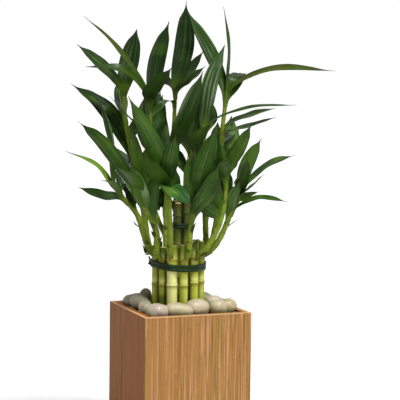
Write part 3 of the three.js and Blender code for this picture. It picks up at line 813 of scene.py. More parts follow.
# Leaves whose colour and gloss stand out, by shoot and place in its list: below 0 the green is
# bluish, 0 to 1 runs from deep to bright, and above 1 it is olive

leafLooks = {
    "shoot_left_low": {0: (1.05, 0.1), 1: (0.4, 0.2)},
    "shoot_left_mid": {0: (0.45, 0.3), 2: (0.7, 0.1), 3: (0.8, 0.1)},
    "shoot_left_tall": {0: (-0.1, 0.1), 1: (0.15, 0.2), 2: (0.0, 0.1), 4: (0.5, 0.2)},
    "shoot_left_inner": {0: (1.25, 0.1), 1: (0.75, 0.1), 2: (-0.05, 0.1), 3: (0.05, 0.1)},
    "shoot_front_left": {0: (0.35, 0.2), 2: (-0.45, 0.2), 3: (0.6, 0.2)},
    "shoot_centre_tall": {0: (0.0, 0.1), 1: (0.3, 0.1), 5: (0.25, 0.7)},
    "shoot_front_right": {0: (0.55, 0.4), 2: (0.5, 0.2)},
    "shoot_right_inner": {0: (0.1, 0.9), 1: (0.4, 0.2)},
    "shoot_right_tall": {
        0: (0.1, 0.2), 1: (-0.2, 0.1), 2: (1.3, 0.1), 3: (-0.15, 0.7), 4: (0.2, 0.3), 5: (0.1, 0.2),
    },
    "shoot_right_mid": {0: (0.8, 0.4), 1: (0.6, 0.2)},
    "shoot_right_low": {0: (0.9, 0.5), 1: (0.15, 0.1), 2: (0.3, 0.1)},
}

# Scales and spurs on the stems, written as the leaves are, with how dry each one is

bracts = {
    "shoot_left_low": [
        [0.44, [-49, -15, 94], [-53, -16, 99], 3, 60, 0.35],
        [0.10, [-37, -13, 61], [-42, -14, 73], 5, 60, 0.3],
    ],
    "shoot_left_mid": [
        [0.42, [-29, -35, 95], [-32, -37, 99], 5, 20, 0.2],
        [0.32, [-28, -34, 86], [-32, -36, 90], 5, 20, 0.2],
        [0.15, [-23, -31, 78], [-19, -34, 84], 5, 0, 0.2],
    ],
    "shoot_front_right": [[0.42, [14, -38, 92], [18, -39, 100], 4, 0, 0.3]],
    "shoot_right_mid": [
        [0.03, [17, -23, 72], [21, -25, 81], 6, 0, 0.6],
        [0.06, [27, -30, 63], [32, -33, 67], 5, 0, 0.6],
    ],
    "shoot_inner_right": [
        [0.08, [7, 5, 124], [4, 3, 134], 8, 0, 0.8],
        [0.14, [11, 6, 125], [15, 4, 133], 7, 20, 0.7],
    ],
    "shoot_inner_left": [
        [0.08, [-5, 4, 122], [-9, 1, 130], 6, 0, 0.8],
        [0.03, [-2, 3, 119], [2, 2, 132], 9, 0, 0.7],
    ],
    "shoot_right_low": [
        [0.48, [60, -11, 98], [65, -12, 102], 3, 60, 0.4],
        [0.26, [47, -9, 79], [51, -10, 81], 2, 60, 0.4],
    ],
}
foliage = {
    "blades": {
        "Rib points": 28,
        "Rim points": 16,
        "Widest at": 0.46,
        "Root power": 0.9,
        "Tip power": 0.85,
        "Drip start": 0.8,
        "Drip end": 0.97,
        "Neck": 1.1 * mm,
        "Least half width": 0.3 * mm,
        "Thickness": 0.7 * mm,
        "Edge thinning": 0.65,
        "Tip thinning": 0.45,
        "Fold": 0.26,
        "Wave": 0.07,
        "Waves": 17.0,
        "Sheath share": 0.17,
        "Sheath width": 3.3 * mm,
        "Sheath roll": 1.9,
    },
    "leafColours": {
        "deep": paint(8, 32, 2), "mid": paint(34, 68, 8), "bright": paint(84, 118, 24),
        "rib": paint(82, 108, 32), "under": paint(42, 68, 16), "sheath": paint(86, 108, 26),
        "dry": paint(74, 54, 26), "wax": paint(122, 146, 104), "olive": paint(104, 102, 32),
        "teal": paint(4, 54, 18), "top": paint(2, 20, 1),
    },
    "darkTop": (170, 270),  # heights above the rim between which the leaves grow darker
    "stems": {
        "Spacing": 1.4 * mm,
        "Sides": 14,
        "Sheath length": 13.0 * mm,
        "Sheath flare": 0.13,
        "Foot share": 0.5,
        "Foot length": 15.0 * mm,
    },
    "stemColours": {
        "bright": paint(118, 134, 34), "green": paint(70, 94, 16), "deep": paint(38, 58, 8),
        "edge": paint(84, 66, 34),
    },
    "ribPoints": 40,
    "stemPoints": 60,
    "tipShare": 0.62,  # of the stem's thickness at its foot
    "highestRoot": 0.985,
    "neckShare": 0.12,
    "sheathGap": 0.3,
    "leafClasp": 1.0,
    "bractClasp": 0.8,
    # least and most of what differs from leaf to leaf and from stem to stem
    "tint": (0.0, 0.9), "gloss": (0.0, 0.7), "drip": (0.35, 0.85), "stemTone": (0.2, 0.7),
    "footScales": {
        "count": 3, "first": 0.03, "step": 0.12, "length": (7.8, 15.6), "lean": (2.2, 7.7),
        "width": 5.0, "bendAt": 0.55, "bendOut": 0.5, "clasp": 0.9, "dry": 0.2, "look": (1.0, 0.0),
    },
}


def leafFinish(colours):
    leaf = Finish("leafBlade", {"Specular IOR Level": 0.08, "Coat Roughness": 0.25})
    place = leaf.place()
    along, across, tint, face, gloss, dryness = [
        leaf.value(key) for key in ("along", "across", "tint", "face", "gloss", "dry")
    ]
    clouds = leaf.noise(place * 70.0, 3.0)
    patches = leaf.noise(place * 34.0 + (0.2, 0.5, 0.1), 2.0)
    streaks = leaf.noise(leaf.vector(across * 7.0, along * 1.5, tint * 90.0), 3.0)
    glints = leaf.noise(leaf.vector(across * 5.0, along * 1.2, tint * 50.0 + 4.0), 4.0, 0.7)
    veins = (across * 46.0).sine()
    fine = (across * 120.0 + clouds * 2.0).sine()
    rib = 1 - abs(across).rise(0.0, 0.07)
    margin = abs(across).rise(0.55, 1.0).atLeast(along.rise(0.65, 0.95))
    low, high = foliage["darkTop"]
    top = (place.parts()[2] - rim).rise(low * mm, high * mm)
    # painted sheen: where pale highlight streaks are painted on glossy leaves
    wax = gloss * glints.rise(0.5, 0.64) * along.rise(0.2, 0.5)
    under = 1 - face.rise(-0.1, 0.1)
    ends = (along + clouds * 0.03).rise(0.95, 1.0) * 0.8
    green = leaf.layers(
        leaf.mix(tint.rise(0.0, 0.55), colours["deep"], colours["mid"]),
        (tint.rise(0.5, 1.0), colours["bright"]),
        (tint.rise(1.0, 1.5), colours["olive"]),
        ((-tint).rise(0.0, 0.6), colours["teal"]),
        (clouds.rise(0.35, 0.75) * 0.35, colours["deep"]),  # uneven growth
        # painted light: paler patches like spots of sun on the leaves
        (patches.rise(0.5, 0.65) * 0.4, colours["bright"]),
        (streaks.rise(0.5, 0.75) * 0.45, colours["bright"]),  # light lines along the blade
        (margin * 0.45, colours["deep"]),  # darker edge and tip
        (top * 0.75, colours["top"]),
        (wax * 0.75, colours["wax"]),  # painted sheen: a highlight painted into the colour of a glossy leaf
        (veins.rise(0.2, 1.0) * 0.09, colours["rib"]),
        (rib * (0.15 + 0.5 * tint.rise(0.2, 1.0)), colours["rib"]),
        (under * 0.45, colours["under"]),  # paler back
        ((1 - along.rise(0.0, 0.3)) * (0.85 - 0.35 * top), colours["sheath"]),
        (ends.atLeast(dryness), colours["dry"]),  # dried tips and scales
    )
    leaf.feed("Base Color", green)
    leaf.feed("Roughness", 0.27 + 0.12 * clouds + 0.15 * under)
    leaf.feed("Coat Weight", gloss * glints.rise(0.45, 0.6))
    leaf.relief(veins * 0.5 + fine * 0.2 + streaks * 2.0 - rib * 1.6, 0.12 * mm, 0.7)
    return leaf


def bladeRecipe(sizes, finish):
    # a folded blade along each rib line, which starts as a sheath rolled round the stem
    recipe = Recipe("leaf blades", sizes)
    size = recipe.size
    place = recipe.place()
    ribs, ribPlace = recipe.capture(recipe.lines("COUNT", size("Rib points")), place)
    ribs, ribTangent = recipe.capture(ribs, recipe.node("GeometryNodeInputTangent"))
    circle, rimPlace = recipe.capture(recipe.circle(size("Rim points")), place)
    skin = recipe.sweep(ribs, circle)

    along, width, hold = [recipe.value(key) for key in ("along", "width", "hold")]
    lies = recipe.value("lies", "FLOAT_VECTOR")
    across, face, _ = rimPlace.parts()
    upper = ribTangent.cross(lies).unit()
    side = upper.cross(ribTangent)

    # half the blade's width: a rounded root, a long tip that narrows once more, and the sheath
    widest = size("Widest at")
    root = (along / widest) ** size("Root power")
    tip = ((1 - along) / (1 - widest)).atLeast(0.0) ** size("Tip power")
    drip = along.rise(size("Drip start"), size("Drip end")) * recipe.value("drip")
    outline = root * tip * (1 - drip)
    neck = size("Neck") * (1 - along) ** 3.0
    blade = along.rise(0.0, size("Sheath share"))
    sheath = (1 - blade) * size("Sheath width") * recipe.value("clasp")
    half = (width * 0.5 * outline).atLeast(neck).atLeast(size("Least half width")) + sheath

    # the section: rolled round the stem at the root, folded along the rib further out
    roll = (half / hold).atMost(size("Sheath roll")) * across
    rolled = side * (roll.sine() * hold) - upper * (roll.cosine() * hold)
    rolledUp = upper * roll.cosine() - side * roll.sine()
    fold = size("Fold")
    phase = along * size("Waves") + recipe.value("tint") * 40.0 + across * 1.3  # each leaf its own
    wave = phase.sine() * across * across * size("Wave") * along.rise(0.1, 0.4)
    folded = side * (across * half) + upper * ((abs(across) * fold + wave) * half)
    foldedUp = (upper - side * (across.sign() * fold)).unit()
    middle = lerp(rolled, folded, blade)
    outward = lerp(rolledUp, foldedUp, blade).unit()
    thin = (1 - across * across * size("Edge thinning")) * (1 - along * size("Tip thinning"))
    skinHalf = size("Thickness") * 0.5 * thin
    skin = recipe.move(skin, ribPlace + middle + outward * (face * skinHalf))
    skin = recipe.store(skin, "across", across)
    skin = recipe.store(skin, "face", face)
    recipe.end(recipe.forget(skin, ["width", "hold", "lies", "clasp", "drip"]), finish)
    return recipe


def stemFinish(colours):
    stem = Finish("youngStem", {"Specular IOR Level": 0.14})
    place = stem.place()
    run, seam, tone = [stem.value(key) for key in ("run", "seam", "tone")]
    streaks = stem.noise(place * (1100, 1100, 60), 3.0)
    clouds = stem.noise(place * 90.0, 2.0)
    foot = 1 - run.rise(2.0 * mm, 24.0 * mm)
    green = stem.layers(
        stem.mix(tone, colours["green"], colours["bright"]),
        (streaks.rise(0.42, 0.68) * 0.7, colours["deep"]),
        ((1 - streaks.rise(0.3, 0.42)) * 0.5, colours["bright"]),
        (seam.rise(0.0, 0.5) * 0.25, colours["bright"]),  # each sheath pales upwards
        (seam.rise(0.86, 0.97) * (0.4 + 0.6 * clouds), colours["edge"]),  # its dry upper edge
        (foot * clouds.rise(0.45, 0.62) * 0.6, colours["edge"]),  # brown marks at the foot
    )
    stem.feed("Base Color", green)
    stem.feed("Roughness", 0.35 + 0.2 * streaks)
    stem.relief(streaks + clouds, 0.2 * mm, 0.4)
    return stem


def stemRecipe(sizes, finish):
    # a tapered stem along each line, clad in short sheaths that widen upwards
    recipe = Recipe("clad stem", sizes)
    size = recipe.size
    lines = recipe.lines("LENGTH", size("Spacing"))
    run = recipe.node("GeometryNodeSplineParameter", {}, {}, "Length")
    seam = (run / size("Sheath length")).fraction()
    foot = lerp(size("Foot share"), 1.0, run.rise(0.0, size("Foot length")))
    radius = recipe.value("radius") * foot * (1 + seam ** 2.0 * size("Sheath flare"))
    lines = recipe.store(lines, "run", run)
    lines = recipe.store(lines, "seam", seam)
    skin = recipe.sweep(lines, recipe.circle(size("Sides")), radius)
    recipe.end(recipe.forget(skin, ["radius"]), finish)
    return recipe


def stemRadius(radius, share):
    return radius * lerp(1, foliage["tipShare"], share)


def leafLine(path, radius, leaf, clasp, dry=0.0, look=None):
    # the rib of one leaf, with the values that shape its blade
    share, via, tip, width, across, *rest = leaf
    tilt = math.radians(rest[0] if rest else 0)
    compass = math.radians(across)
    root = pointAt(path, min(share, foliage["highestRoot"]))
    via = Vector(via)
    tip = Vector(tip)
    neck = root + directionAt(path, share) * foliage["neckShare"] * (tip - root).length
    neck = neck.lerp(via, foliage["neckShare"])
    count = foliage["ribPoints"]
    rib = smoothPath([root, neck, via, tip], count)
    lies = Vector((math.cos(compass), math.sin(compass), math.tan(tilt))).normalized()
    inward = Vector((-tip.x, -tip.y, Vector((tip.x, tip.y)).length))
    if directionAt(rib, foliage["blades"]["Widest at"]).cross(lies).dot(inward) < 0:
        lies = -lies  # the upper face looks up and towards the middle of the plant
    number = tip.x * 3.1 + tip.y * 1.7 + tip.z  # the leaf's own, for its chances
    tint, gloss = look or (varied(*foliage["tint"], number), varied(*foliage["gloss"], number + 2))
    values = {
        "along": [i / (count - 1) for i in range(count)],
        "width": width * mm,
        "hold": (stemRadius(radius, share) + foliage["sheathGap"]) * mm,
        "lies": turnOnly @ lies,
        "tint": tint,
        "gloss": gloss,
        "drip": varied(*foliage["drip"], number + 1),
        "clasp": clasp,
        "dry": dry,
    }
    return {"points": [toPlanter @ point for point in rib], "values": values}


def footRows(path, scales):
    # the scales that clasp the foot of every stem, written as the leaves are
    rows = []
    for i in range(scales["count"]):
        share = scales["first"] + scales["step"] * i
        root = pointAt(path, share)
        ahead = directionAt(path, share)
        swing = chance(root.x * 2.3 + root.y + i)
        bearing = math.pi * i + 2.0 * swing
        aside = Vector((math.cos(bearing), math.sin(bearing), 0))
        reach = lerp(*scales["length"], swing)
        lean = lerp(*scales["lean"], swing)
        via = root + ahead * reach * scales["bendAt"] + aside * lean * scales["bendOut"]
        tip = root + ahead * reach + aside * lean
        rows.append([share, via, tip, scales["width"], math.degrees(bearing) + 90])
    return rows


def shootLines(shoot, path):
    # the ribs of a shoot's leaves, bracts and foot scales
    name, radius = shoot["name"], shoot["radius"]
    looks = leafLooks.get(name, {})
    scales = foliage["footScales"]
    lines = [
        leafLine(path, radius, leaf, foliage["leafClasp"], look=looks.get(i))
        for i, leaf in enumerate(shoot["leaves"])
    ]
    for *bract, dry in bracts.get(name, []):
        lines.append(leafLine(path, radius, bract, foliage["bractClasp"], dry))
    for scale in footRows(path, scales):
        lines.append(leafLine(path, radius, scale, scales["clasp"], scales["dry"], scales["look"]))
    return lines


def buildShoots():
    blades = bladeRecipe(foliage["blades"], leafFinish(foliage["leafColours"]))
    stems = stemRecipe(foliage["stems"], stemFinish(foliage["stemColours"]))
    count = foliage["stemPoints"]
    leafCount = 0
    for shoot in shoots:
        cane = shoot["cane"]
        path = smoothPath([(cane["x"], cane["y"], cane["foot"]), *shoot["stem"]], count)
        lines = shootLines(shoot, path)
        leafCount += len(shoot["leaves"])
        stemLine = {
            "points": [toPlanter @ point for point in path],
            "values": {
                "radius": [stemRadius(shoot["radius"], i / (count - 1)) * mm for i in range(count)],
                "tone": varied(*foliage["stemTone"], len(lines) + leafCount),
            },
        }
        piece = blades.run(shoot["name"] + "_leaves", lineMesh("ribs", lines))
        joinInto(piece, stems.run("stem", lineMesh("stemLine", [stemLine])))
        keep(piece, shoot["name"])
    print("shoots:", len(shoots), "with", leafCount, "leaves")


# Ties: two strands, one over the other, drawn round the canes

ties = {
    "rings": {
        "tie_outer": {
            "canes": outerCanes, "centre": canes["outerRing"]["centre"], "height": 49.4,
            "slopes": (-0.045, 0.05), "strandHeight": 3.9, "bearing": (-14, -7, 0, 7, 14),
            "knot": {
                "turns": 5, "steps": 14, "radius": 2.5, "outwards": 0.8, "flatness": (0.55, 0.75),
                "roll": 0.23, "swing": 1.9, "swingPace": 0.37, "wire": 1.0, "endPoints": 12,
                # points of an end: outwards, aside, upwards on one side only, upwards on both
                "end": [(0, 1.5, 0, 0), (-1.0, 3.15, 1.5, 0.8), (-2.2, 6.3, 3.0, 2.0)],
            },
        },
        "tie_inner": {
            "canes": innerCanes, "centre": canes["innerRing"]["centre"], "height": 93,
            "slopes": (0, 0), "strandHeight": 3.0, "bearing": (-44, -30, -15, 0, 15, 30, 44),
        },
    },
    "thickness": 1.6,
    "fitGap": 0.3,
    "sizes": {"Spacing": 0.8 * mm, "Sides": 14},
    "colours": {"green": paint(18, 38, 8), "sheen": paint(58, 82, 38)},
}


def tieFinish(colours):
    tie = Finish("coatedTie", {"Specular IOR Level": 0.16})
    scuffsAndSheen = tie.noise(tie.place() * 400.0, 3.0)
    ridges = (tie.value("turn") * 6.0).sine()
    # painted sheen: paler green patches stand in for the sheen of the coating, over real scuffs
    tie.feed("Base Color", tie.mix(scuffsAndSheen.rise(0.5, 0.85) * 0.5, colours["green"], colours["sheen"]))
    tie.feed("Roughness", 0.25 + 0.3 * scuffsAndSheen)
    tie.relief(ridges + scuffsAndSheen * 0.6, 0.15 * mm, 0.5)
    return tie


def tieRecipe(sizes, finish):
    # a strand along each line, oval where its height says so
    recipe = Recipe("tie strands", sizes)
    sides = recipe.size("Sides")
    lines = recipe.lines("LENGTH", recipe.size("Spacing"))
    lines = recipe.node("GeometryNodeSetCurveNormal", {"mode": "Z_UP"}, {"Curve": lines})
    place = recipe.place()
    lines, middle = recipe.capture(lines, place)
    index = recipe.node("GeometryNodeInputIndex")
    circle = recipe.store(recipe.circle(sides), "turn", index * (2 * math.pi) / sides)
    skin = recipe.sweep(lines, circle, recipe.value("thin"))
    x, y, z = (place - middle).parts()
    skin = recipe.move(skin, middle + recipe.vector(x, y, z * recipe.value("stretch")))
    recipe.end(recipe.forget(skin, ["thin", "stretch"]), finish)
    return recipe


def tieLevel(tie, x, y):
    # the height of the tie's middle, which slopes to the right and away from the viewer
    right, away = tie["slopes"]
    return tie["height"] + right * (x - tie["centre"][0]) + away * (y - tie["centre"][1])


def strandLine(tie, rise):
    points = []
    for cane in tie["canes"]:
        for offset in tie["bearing"]:
            angle = math.radians(cane["angle"] + offset)
            reach = cane["radius"] + ties["fitGap"] + ties["thickness"] / 2
            x = cane["x"] + reach * math.sin(angle)
            y = cane["y"] - reach * math.cos(angle)
            points.append(toPlanter @ Vector((x, y, tieLevel(tie, x, y) + rise)))
    values = {
        "thin": ties["thickness"] / 2 * mm,
        "stretch": tie["strandHeight"] / ties["thickness"],
    }
    return {"points": points, "values": values}


def knotLines(tie, knot):
    # a wrapped knot at the left with two short ends
    ring = canes["outerRing"]
    left = ring["centre"][0] - ring["circle"] - knot["outwards"]
    middle = Vector((left, 0, tieLevel(tie, left, 0)))
    narrow, wide = knot["flatness"]
    steps = knot["turns"] * knot["steps"]
    coil = []
    for i in range(steps + 1):
        turn = 2 * math.pi * knot["turns"] * i / steps
        aside = wide * math.sin(turn) * math.cos(turn * knot["roll"])
        around = Vector((narrow * math.cos(turn), aside, math.sin(turn)))
        swing = knot["swing"] * math.sin(turn * knot["swingPace"])
        coil.append(middle + around * knot["radius"] + Vector((0, swing, 0)))
    lines = [coil]
    for way in (-1, 1):
        end = [
            middle + Vector((out, way * aside, way * oneSided + up))
            for out, aside, oneSided, up in knot["end"]
        ]
        lines.append(smoothPath(end, knot["endPoints"]))
    values = {"thin": knot["wire"] * mm, "stretch": 1.0}
    return [{"points": [toPlanter @ point for point in line], "values": values} for line in lines]


def buildTies():
    recipe = tieRecipe(ties["sizes"], tieFinish(ties["colours"]))
    for name, tie in ties["rings"].items():
        strands = [strandLine(tie, way * tie["strandHeight"] / 2) for way in (-1, 1)]
        piece = recipe.run(name + "_strands", lineMesh("tieLines", strands, closed=True))
        if "knot" in tie:
            joinInto(piece, recipe.run("knot", lineMesh("knotLines", knotLines(tie, tie["knot"]))))
        keep(piece, name)
    print("ties:", len(ties["rings"]))


# Pebbles that show at the front and left: place, half length, half width, half height,
# direction of the length, and colour; then rows of others fill the rest of the bed

chosenPebbles = [
    (-50, 13, 4, 16, 10, 9, 150, "olive"),
    (-40, 23, 8, 7, 6, 10, 0, "brown"),
    (-44, -8, 5, 15, 9, 8, 130, "grey"),
    (-36, -38, 4, 10, 8, 8, 110, "grey"),
    (-22, -52, 3, 14, 11, 8.5, 10, "pink"),
    (2, -47, 4, 17, 9, 8, 20, "cream"),
    (21, -37, 6, 14, 11, 9, 35, "cream"),
    (38, -14, 7, 10, 9, 9, 20, "white"),
    (44, -28, 5, 12, 10.5, 9, 70, "cream"),
    (55.5, -21, 5, 11, 9, 8, 60, "yellow"),
]
bed = {
    "width": 105.3,
    "tilt": 0.4,  # most difference between the tilts of two stones, in radians
    "foot": 7.25 * mm,  # of the gravel, above the table
    "sink": 3.5 * mm,  # of the gravel, below the rim
    "rows": {
        "pitch": 22, "shift": 5, "half": (8, 10.5), "longer": 2.5, "heightShare": 0.72, "lift": (1, 4),
        # shares of half widths that it keeps from the canes, and of sizes from a chosen pebble
        "toCanes": 0.75, "toLength": 0.42, "toWidth": 0.5,
    },
    "fill": {
        "count": 240, "half": (3.0, 5.0), "lift": (-5.0, -3.5), "steps": (0.7549, 0.5698),
        "toCanes": 1.5, "lengthShare": 1.3, "heightShare": 0.8, "Detail": 3,
    },
    "sizes": {"Detail": 4, "Squareness": 0.15, "Unevenness": 3.2 * mm, "Bumps": 46.0},
    "stones": {
        "grey": paint(114, 110, 90), "olive": paint(100, 98, 70), "brown": paint(112, 94, 72),
        "yellow": paint(142, 132, 90), "pink": paint(138, 123, 116), "cream": paint(142, 134, 104),
        "white": paint(140, 135, 116), "blush": paint(149, 133, 116), "moss": paint(132, 131, 92),
    },
    "marks": {"grain": paint(90, 80, 62), "vein": paint(110, 86, 62)},
    "gravel": {"dark": paint(88, 79, 60), "light": paint(132, 119, 94)},
}


def stoneFinish(stones, marks):
    stone = Finish("riverPebble", {"Coat Weight": 0.05})
    place = stone.place()
    clouds = stone.noise(place * 110.0, 4.0)
    patches = stone.noise(place * 75.0 + (0.3, 0.1, 0.7), 3.0)
    grains = stone.noise(place * 900.0, 2.0)
    veins = stone.noise(place * 60.0, 5.0, 0.6)
    stone.feed("Base Color", stone.layers(
        stone.value("stone", "Color"),
        (clouds.rise(0.42, 0.62) * 0.55, stones["moss"]),
        (patches.rise(0.45, 0.6) * 0.6, stones["blush"]),
        (grains.rise(0.52, 0.75) * 0.3, marks["grain"]),  # dark specks
        ((veins - 0.5).bell(0.02) * 0.3, marks["vein"]),  # thin lines
    ))
    stone.feed("Roughness", 0.42 + 0.25 * grains)
    stone.relief(grains * 0.4 + clouds + patches * 2.0, 0.5 * mm, 0.6)
    return stone


def gravelFinish(colours):
    gravel = Finish("bedGravel", {"Roughness": 0.8})
    place = gravel.place()
    cells = gravel.node("ShaderNodeTexVoronoi", {}, {"Vector": place, "Scale": 260.0})
    tone = gravel.noise(place * 300.0, 2.0)
    gravel.feed("Base Color", gravel.mix(tone, colours["dark"], colours["light"]))
    gravel.relief(1 - cells * 2.0, 1.2 * mm, 1.0)
    return gravel


def pebbleRecipe(sizes, finish):
    # an uneven ball on each point, a little squared and drawn out by the point's own sizes
    recipe = Recipe("pebbles", sizes)
    size = recipe.size
    sockets = {"Radius": 1.0, "Subdivisions": size("Detail")}
    ball = recipe.node("GeometryNodeMeshIcoSphere", {}, sockets)
    place = recipe.place()
    squares = place * place
    ball = recipe.move(ball, place * lerp(1.0, squares.dot(squares) ** -0.25, size("Squareness")))
    turn = recipe.node("FunctionNodeEulerToRotation", {}, {0: recipe.value("turn", "FLOAT_VECTOR")})
    stones = recipe.instances(recipe.start(), ball, recipe.value("stretch", "FLOAT_VECTOR"), turn)
    uneven = recipe.noise(place * size("Bumps") + recipe.value("tint") * 30.0, 1.5) - 0.5
    offset = recipe.node("GeometryNodeInputNormal") * (uneven * 2.0 * size("Unevenness"))
    stones = recipe.node("GeometryNodeSetPosition", {}, {"Geometry": stones, "Offset": offset})
    recipe.end(recipe.forget(stones, ["stretch", "turn"]), finish)
    return recipe


def insideBed(across, away, half):
    # a place given in the planter's directions, which a stone of this half width can take
    limit = bed["width"] / 2 - half
    held = [min(max(value, -limit), limit) for value in (across, away)]
    return turnOnly.inverted() @ Vector((*held, 0))


def distance(place, x, y):
    return (place - Vector((x, y, 0))).length


def anyStone(n):
    names = list(bed["stones"])
    return names[int(chance(n) * len(names))]


def rowPebbles():
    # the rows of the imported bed, clear of the canes and of the chosen pebbles; what is drawn for
    # a stone adds a number of its own to n
    rows = bed["rows"]
    ring = canes["outerRing"]
    found = []
    count = math.floor(bed["width"] / rows["pitch"])
    for row in range(count + 1):
        for column in range(count + 1):
            n = row * (count + 1) + column
            half = varied(*rows["half"], n)
            across = (column - count / 2) * rows["pitch"] + rows["shift"] * (chance(n + 50) - 0.5)
            away = (row - count / 2) * rows["pitch"] + rows["shift"] * (chance(n + 90) - 0.5)
            place = insideBed(across, away, half)
            nearCanes = distance(place, *ring["centre"]) < ring["circle"] + rows["toCanes"] * half
            nearChosen = any(
                distance(place, x, y) < rows["toLength"] * (length + width) + rows["toWidth"] * half
                for x, y, z, length, width, *rest in chosenPebbles
            )
            if nearCanes or nearChosen:
                continue
            sizes = (half + rows["longer"], half, rows["heightShare"] * half)
            lift = varied(*rows["lift"], n + 130)
            found.append((place.x, place.y, lift, *sizes, 180 * chance(n + 170), anyStone(n + 210)))
    return found


def fillPebbles(large):
    # smaller stones in the gaps between the large ones
    fill = bed["fill"]
    ring = canes["outerRing"]
    found = []
    for n in range(fill["count"]):
        half = varied(*fill["half"], n + 700)
        across, away = [(n * step % 1 - 0.5) * bed["width"] for step in fill["steps"]]
        place = insideBed(across, away, half)
        underCanes = distance(place, *ring["centre"]) < ring["circle"] + fill["toCanes"]
        underStone = any(
            distance(place, x, y) < width for x, y, z, length, width, *rest in large
        )
        if underCanes or underStone:
            continue
        sizes = (half * fill["lengthShare"], half, half * fill["heightShare"])
        lift = varied(*fill["lift"], n + 800)
        found.append((place.x, place.y, lift, *sizes, 180 * chance(n), anyStone(n + 900)))
    return found


def stonesAt(name, stones, recipe):
    start = bpy.data.meshes.new("pebblePlaces")
    start.from_pydata([toPlanter @ Vector(stone[:3]) for stone in stones], [], [])
    turns = []
    for i, stone in enumerate(stones):
        tilt = bed["tilt"] * (chance(i + 40) - 0.5)
        turns.append(Vector((tilt, tilt, math.radians(stone[6]) + plantTurn)))
    setValues(start, "stretch", [Vector(stone[3:6]) * mm for stone in stones])
    setValues(start, "turn", turns)
    setValues(start, "stone", [Vector(bed["stones"][stone[7]][:3]) for stone in stones])
    setValues(start, "tint", [chance(i + 60) for i in range(len(stones))])
    return recipe.run(name, start)


def gravelBlock(finish):
    half = bed["width"] / 2 * mm
    corners = squareCorners(half, bed["foot"]) + squareCorners(half, rim - bed["sink"])
    faces = [(3, 2, 1, 0), (4, 5, 6, 7), (0, 1, 5, 4), (1, 2, 6, 5), (2, 3, 7, 6), (3, 0, 4, 7)]
    block = bpy.data.meshes.new("gravel")
    block.from_pydata(corners, [], faces)
    block.materials.append(finish.material)
    return addObject("gravel", block)


def buildBed():
    recipe = pebbleRecipe(bed["sizes"], stoneFinish(bed["stones"], bed["marks"]))
    large = [*chosenPebbles, *rowPebbles()]
    small = fillPebbles(large)
    piece = stonesAt("pebble_bed_stones", large, recipe)
    recipe.sizes["Detail"] = bed["fill"]["Detail"]
    joinInto(piece, stonesAt("fill", small, recipe))
    joinInto(piece, gravelBlock(gravelFinish(bed["gravel"])))
    keep(piece, "pebble_bed")
    print("pebbles:", len(large), "large and", len(small), "small")


# Planter: each wall is laminated from upright bamboo strips of uneven width

planter = {
    "sizes": {
        "Side": wallHigh.x - wallLow.x,
        "Height": rim,
        "Wall": wallHigh.y - wallLow.y,
        "Turn": 0.0,
        "Strips": 52,
        "Narrowest": 0.35,
        "Widest": 1.5,
        "Seam": 0.05 * mm,
        "Merge": 0.004 * mm,
        "Seed": 3,
        "Warmth": 0.0,
    },
    "walls": {
        # Wall shade: painted shade that darkens and reddens each wall by its own amount, the shaded left
        # wall most
        "front": {"Seed": 3, "Warmth": 0.07},
        "right": {"Seed": 13, "Warmth": 0.3},
        "back": {"Seed": 23, "Warmth": 0.3},
        "left": {"Seed": 33, "Warmth": 0.75},
    },
    "bevel": {"width": 0.4 * mm, "segments": 2},
    "boards": {"width": 15.5 * mm, "contrast": 0.45, "joint": 110 * mm},
    "colours": {
        "light": paint(141, 112, 66), "mid": paint(131, 100, 55), "pink": paint(134, 95, 56),
        "brown": paint(126, 90, 46), "fibre": paint(100, 66, 32), "node": paint(96, 66, 36),
        "rim": paint(188, 152, 112), "line": paint(162, 126, 88), "warm": (0.9, 0.5, 0.2, 1.0),
    },
}


